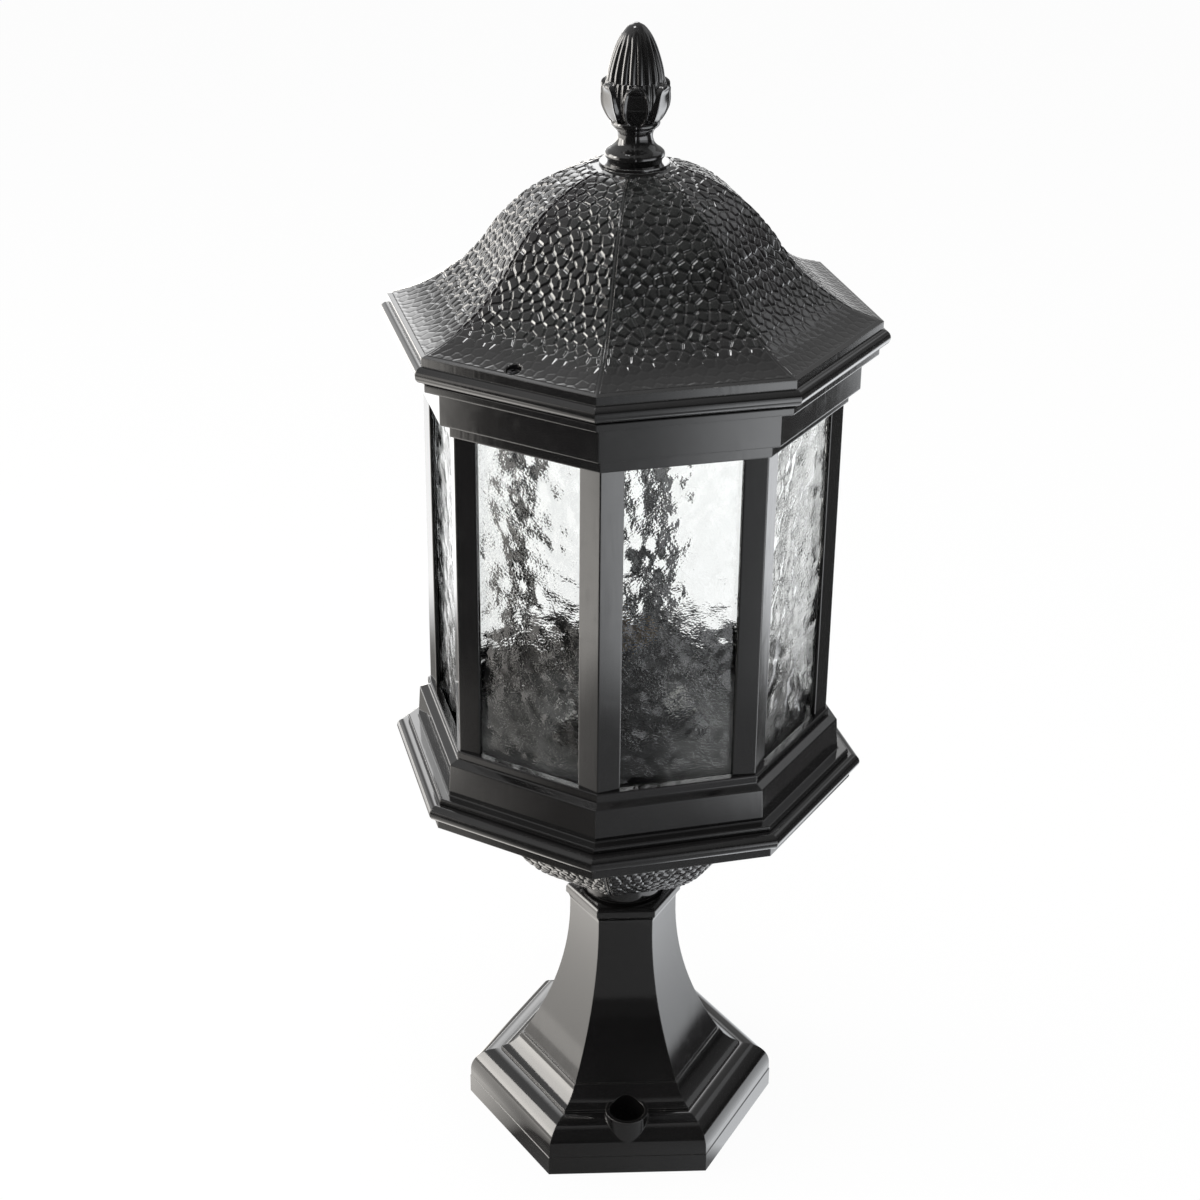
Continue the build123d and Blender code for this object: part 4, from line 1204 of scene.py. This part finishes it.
@dataclass(frozen=True)
class Cards:
    """Soft cards round the light, for gloss: bearing in degrees from the back, radiance and tint."""

    stops: tuple[tuple[float, float, Colour], ...]
    top: float = 3.2

    def read(self, graph: Graph, turn: Value) -> Value:
        """The cards' colour at a bearing in radians from -pi to pi, as a share of the top radiance."""
        stops = [((bearing + 180) / 360, tone(tint, radiance / self.top))
                 for bearing, radiance, tint in self.stops]
        return graph.ramp(turn / TURN + 0.5, stops)


@dataclass(frozen=True)
class Studio:
    """White floor, white surround, soft lights and the camera.

    On the ground the far cards take over from the near ones at far_start, nearer on the right by right_lead,
    and on the left they are turned by left_shift, in radians. The sky's numbers are its level, its fall to
    the right, its rise to the back, its glow at the back and its shade in front. Plain light gets the fill.
    """

    eye: Triple = (-0.0586, -0.9158, 0.7211)
    heading: float = -2.9
    pitch: float = 26.34
    roll: float = 0.56
    lens: float = 69.72
    sensor: float = 36.0
    near_clip: float = 0.01
    panels: tuple[Panel, ...] = (
        Panel("left_panel", (-1.32, 0.36, 0.72), (0, 0, 0.3), (0.62, 1.0), 4.6, WARM),
        Panel("strip_panel", (-1.26, -0.13, 0.78), (0, 0, 0.43), (0.26, 0.8), 9.0, WARM),
        Panel("right_panel", (1.1, 0.54, 1.36), (0, 0, 0.33), (1.0, 0.7), 0.35, COOL),
        Panel("high_panel", (-0.25, 0.1, 1.75), (0, 0, 0.3), (0.3, 0.3), 8.5),
        Panel("top_panel", (-0.1, -0.2, 1.8), (0, 0, 0.3), (1.2, 1.2), 5.0, glint=False),
    )
    far: Cards = Cards((
        (-180, 0.04, PLAIN), (-121, 0.05, PLAIN), (-117.2, 0.08, WARM), (-115.4, 2.3, WARM), (-60, 2.0, WARM),
        (-40, 1.7, PLAIN), (-8, 1.9, PLAIN), (8, 1.2, PLAIN), (20, 0.45, PLAIN), (38, 0.5, COOL),
        (46, 1.9, COOL), (59.3, 1.8, COOL), (61.3, 0.08, PLAIN), (92, 0.05, PLAIN), (104, 1.9, COOL),
        (149, 2.3, COOL), (154, 0.55, COOL), (162, 0.1, PLAIN), (180, 0.04, PLAIN)))
    near: Cards = Cards((
        (-180, 0.2, PLAIN), (-123, 0.12, WARM), (-116, 0.6, WARM), (-85, 1.6, WARM), (-60, 1.7, WARM),
        (-40, 0.25, WARM), (0, 0.2, PLAIN), (40, 0.9, COOL), (70, 1.3, COOL), (134, 1.3, COOL),
        (144, 0.3, COOL), (180, 0.2, PLAIN)))
    ground: tuple[Point, Point] = ((-9000, 9000), (-4000, 12000))
    ground_height: float = -0.2
    ground_colour: Colour = (0.9, 0.9, 0.9)
    ground_glow: float = 0.96
    far_start: Point = (0.5, 0.63)
    right_lead: float = 0.2
    left_shift: float = 0.055
    sky_level: float = 0.27
    sky_lean: float = 0.22
    sky_back: float = 0.1
    sky_glow: float = 2.3
    sky_shade: float = 0.85
    fill: float = 0.35

    def floor(self) -> None:
        """The floor: white for the camera and through glass, brighter at the sides than in front for gloss.

        For gloss it shows the near cards round the light's foot and the far cards beyond.
        """
        skin = Skin()
        x, y = np.meshgrid(*(np.linspace(*ends, 4) for ends in self.ground))
        skin.quads(skin.add(np.stack([x, y, np.full(x.shape, self.ground_height)], axis=-1)))
        item = skin.mesh("floor")
        made = bpy.data.materials.new("pale floor")
        graph = Graph(made)
        seen, gloss, through = self._rays(graph)
        x_axis, y_axis, _ = graph.axes(graph.place())
        turn = x_axis.bearing(y_axis)
        reach = (x_axis * x_axis + y_axis * y_axis) ** 0.5
        right, back = x_axis / reach, y_axis / reach
        span = (reach + self.right_lead * right.between(0.55, 0.9)).between(*self.far_start)
        shift = self.left_shift * reach.between(0.6, 1.0) * x_axis.between(0.0, -0.2)
        shine = graph.mix(span, self.near.read(graph, turn), self.far.read(graph, turn - shift))
        skyline = reach.between(1.4, 2.6) * back.between(0.5, 0.7) * right.between(0.15, 0.0)
        shine = graph.mix(skyline, shine, WARM)
        white = seen.larger(through * y_axis.between(-0.05, 0.1))
        plain = graph.node("ShaderNodeBsdfDiffuse", inputs={"Color": (*self.ground_colour, 1.0)})
        glow = graph.node("ShaderNodeEmission", inputs={
            "Color": graph.mix(white, shine, self._grey(1.0)), "Strength": self.far.top})
        share = seen * self.ground_glow + (1.0 - seen) * through.larger(gloss)
        shader = graph.node("ShaderNodeMixShader", inputs={0: share, 1: plain, 2: glow})
        graph.node("ShaderNodeOutputMaterial", inputs={"Surface": shader})
        item.data.materials.append(made)

    def _grey(self, radiance: float) -> Colour:
        """A grey of some radiance, as a share of the cards' top radiance."""
        return tone(PLAIN, radiance / self.far.top)

    @staticmethod
    def _rays(graph: Graph) -> tuple[Value, Value, Value]:
        """Whether a ray comes from the camera, from gloss only, or through glass.

        Args:
            graph: The tree to write in.

        Returns:
            Three values of 0 or 1.
        """
        paths = graph.node("ShaderNodeLightPath").socket.node.outputs
        seen, gloss, through = (Value(graph, paths[name]) for name in (
            "Is Camera Ray", "Is Glossy Ray", "Is Transmission Ray"))
        return seen, gloss * (1.0 - through), through

    def world(self) -> None:
        """The surround: white for the camera and through glass, dim for plain light.

        For gloss it has the far cards near the horizon and a sky above them, which is dark in front.
        """
        made = bpy.data.worlds.new("white surround")
        bpy.context.scene.world = made
        graph = Graph(made)
        seen, gloss, through = self._rays(graph)
        x, y, z = graph.axes(graph.node("ShaderNodeTexCoord", output="Generated"))
        ahead = y * -1.0
        slant = x * x / (y * y + 0.0001)
        front = ahead.between(0.1, 0.4) * slant.between(0.5, 0.1) * z.between(0.97, 0.82)
        low = ahead.between(0.15, 0.7) * z.between(0.66, 0.42)
        glow = self.sky_glow * y.between(0.6, 0.82) * x.between(0.2, 0.06) * x.between(-0.4, -0.15)
        sky = self.sky_level - self.sky_lean * x + self.sky_back * y.larger(0.0) + glow
        sky = graph.mix(sky * (1.0 - self.sky_shade * front.larger(low)) / self.far.top, BLACK, PLAIN)
        tall = (z - 0.16 * x.between(-0.2, -0.6)).between(0.3, 0.1)
        cards = graph.mix(0.5, self.far.read(graph, x.bearing(y)), BLACK)
        dim = graph.mix(gloss.larger(through), self._grey(self.fill), graph.mix(tall, sky, cards))
        colour = graph.mix(seen.larger(through * y.between(0.0, 0.2)), dim, self._grey(1.0))
        light = graph.node("ShaderNodeBackground", inputs={"Color": colour, "Strength": self.far.top})
        graph.node("ShaderNodeOutputWorld", inputs={"Surface": light})

    def camera(self) -> None:
        """The photograph's camera: heading about Z, pitch down, then roll about the view."""
        turn, down, roll = (math.radians(angle) for angle in (self.heading, self.pitch, self.roll))
        right = np.array([math.cos(turn), math.sin(turn), 0.0])
        level = np.array([-math.sin(turn), math.cos(turn), 0.0])
        ahead = level * math.cos(down) - np.array([0.0, 0.0, math.sin(down)])
        over = np.cross(right, ahead)
        side = math.cos(roll) * right + math.sin(roll) * over
        up = math.cos(roll) * over - math.sin(roll) * right
        lens = bpy.data.cameras.new("camera")
        lens.lens = self.lens
        lens.sensor_width = self.sensor
        lens.sensor_fit = "HORIZONTAL"
        lens.clip_start = self.near_clip
        item = bpy.data.objects.new("camera", lens)
        stand(item, side, up, -ahead, np.array(self.eye))
        bpy.context.scene.camera = item

    def build(self) -> None:
        """Build the whole studio."""
        self.floor()
        self.world()
        for panel in self.panels:
            panel.build()
        self.camera()
        bpy.context.scene.view_settings.view_transform = "Standard"


@dataclass(frozen=True)
class Palette:
    """Every finish of the light."""

    casting: Finish = Enamel("gloss black enamel")
    hammered: Finish = Enamel(
        "gloss black enamel, hammered", edge=0.0, swell=0.006 * MM, run=0.0, roughness=0.13)
    glass: Finish = WaterGlass("clear water glass")
    plated: Finish = Metal("zinc plated steel")
    threaded: Finish = Metal("zinc plated thread", pitch=1.25 * MM)
    oxide: Finish = Metal(
        "black oxide steel", colour=(0.035, 0.035, 0.038), stain=(0.02, 0.02, 0.02), roughness=0.35)
    spring: Finish = Metal("spring wire", colour=(0.56, 0.56, 0.58), roughness=0.22)
    brass: Finish = Metal("aged brass", colour=(0.32, 0.21, 0.085), stain=(0.15, 0.095, 0.04), roughness=0.4)
    phenolic: Finish = Moulded(
        "black phenolic", colour=(0.012, 0.011, 0.011), rubbed=(0.04, 0.04, 0.04), roughness=0.25)
    plate: Finish = Moulded(
        "satin black plate", colour=(0.008, 0.008, 0.008), rubbed=(0.03, 0.03, 0.03), specular=0.3)
    block: Finish = Moulded(
        "terminal block plastic", colour=(0.76, 0.75, 0.7), rubbed=(0.85, 0.84, 0.8), roughness=0.45)
    rubber: Finish = Moulded(
        "black rubber", colour=(0.018, 0.018, 0.018), roughness=0.75, depth=0.012 * MM, specular=0.3)
    live: Finish = Insulation("brown insulation")
    neutral: Finish = Insulation("blue insulation", colour=(0.03, 0.1, 0.36))
    earth: Finish = Insulation(
        "green and yellow insulation", colour=(0.09, 0.36, 0.05), stripe=(0.72, 0.6, 0.04))

    def nodes(self) -> dict[Finish, tuple[str, ...]]:
        """The names of the CAD nodes that keep their shape, by finish."""
        posts = tuple(f"corner_post_{number}" for number in range(1, SIDES + 1))
        return {
            self.casting: (
                "pedestal", "neck_collar", "bowl_tray", "sill_frame", "cornice_frame", "roof_shell", *posts),
            self.plated: (
                "stem_lower_washer", "stem_upper_washer", "stem_lower_nut", "stem_upper_nut", "tray_screws",
                "gear_plate_screws", "terminal_block_screws", "earth_screw", "lampholder_screws",
                "finial_washer"),
            self.threaded: ("stem_tube", "post_screws_lower", "post_screws_upper", "finial_screw"),
            self.oxide: ("roof_screws",),
            self.brass: ("terminal_screws", "earth_terminal", "holder_terminals", "centre_contact"),
            self.phenolic: ("lampholder_body",),
            self.plate: ("gear_plate",),
            self.block: ("terminal_block",),
            self.rubber: ("neck_gasket", "roof_gasket"),
            self.live: ("live_lead",),
            self.neutral: ("neutral_lead",),
            self.earth: ("earth_lead",),
        }


def main() -> None:
    """Load the frame, dress the CAD nodes, build every piece and set the studio."""
    logging.basicConfig(level=logging.INFO, format="%(name)s: %(message)s")
    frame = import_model()
    palette = Palette()
    for finish, names in palette.nodes().items():
        for name in names:
            dress(frame["nodes"][name], finish)
        LOG.info("%s: %s", finish.name, ", ".join(names))
    ROOF_HAMMERING.build(palette.hammered)
    BOWL_HAMMERING.build(palette.hammered)
    RippledPanes().build(palette.glass)
    Finial().build(palette.hammered)
    Lampholder().build(palette.brass, palette.spring)
    Studio().build()


if __name__ == "__main__":
    main()
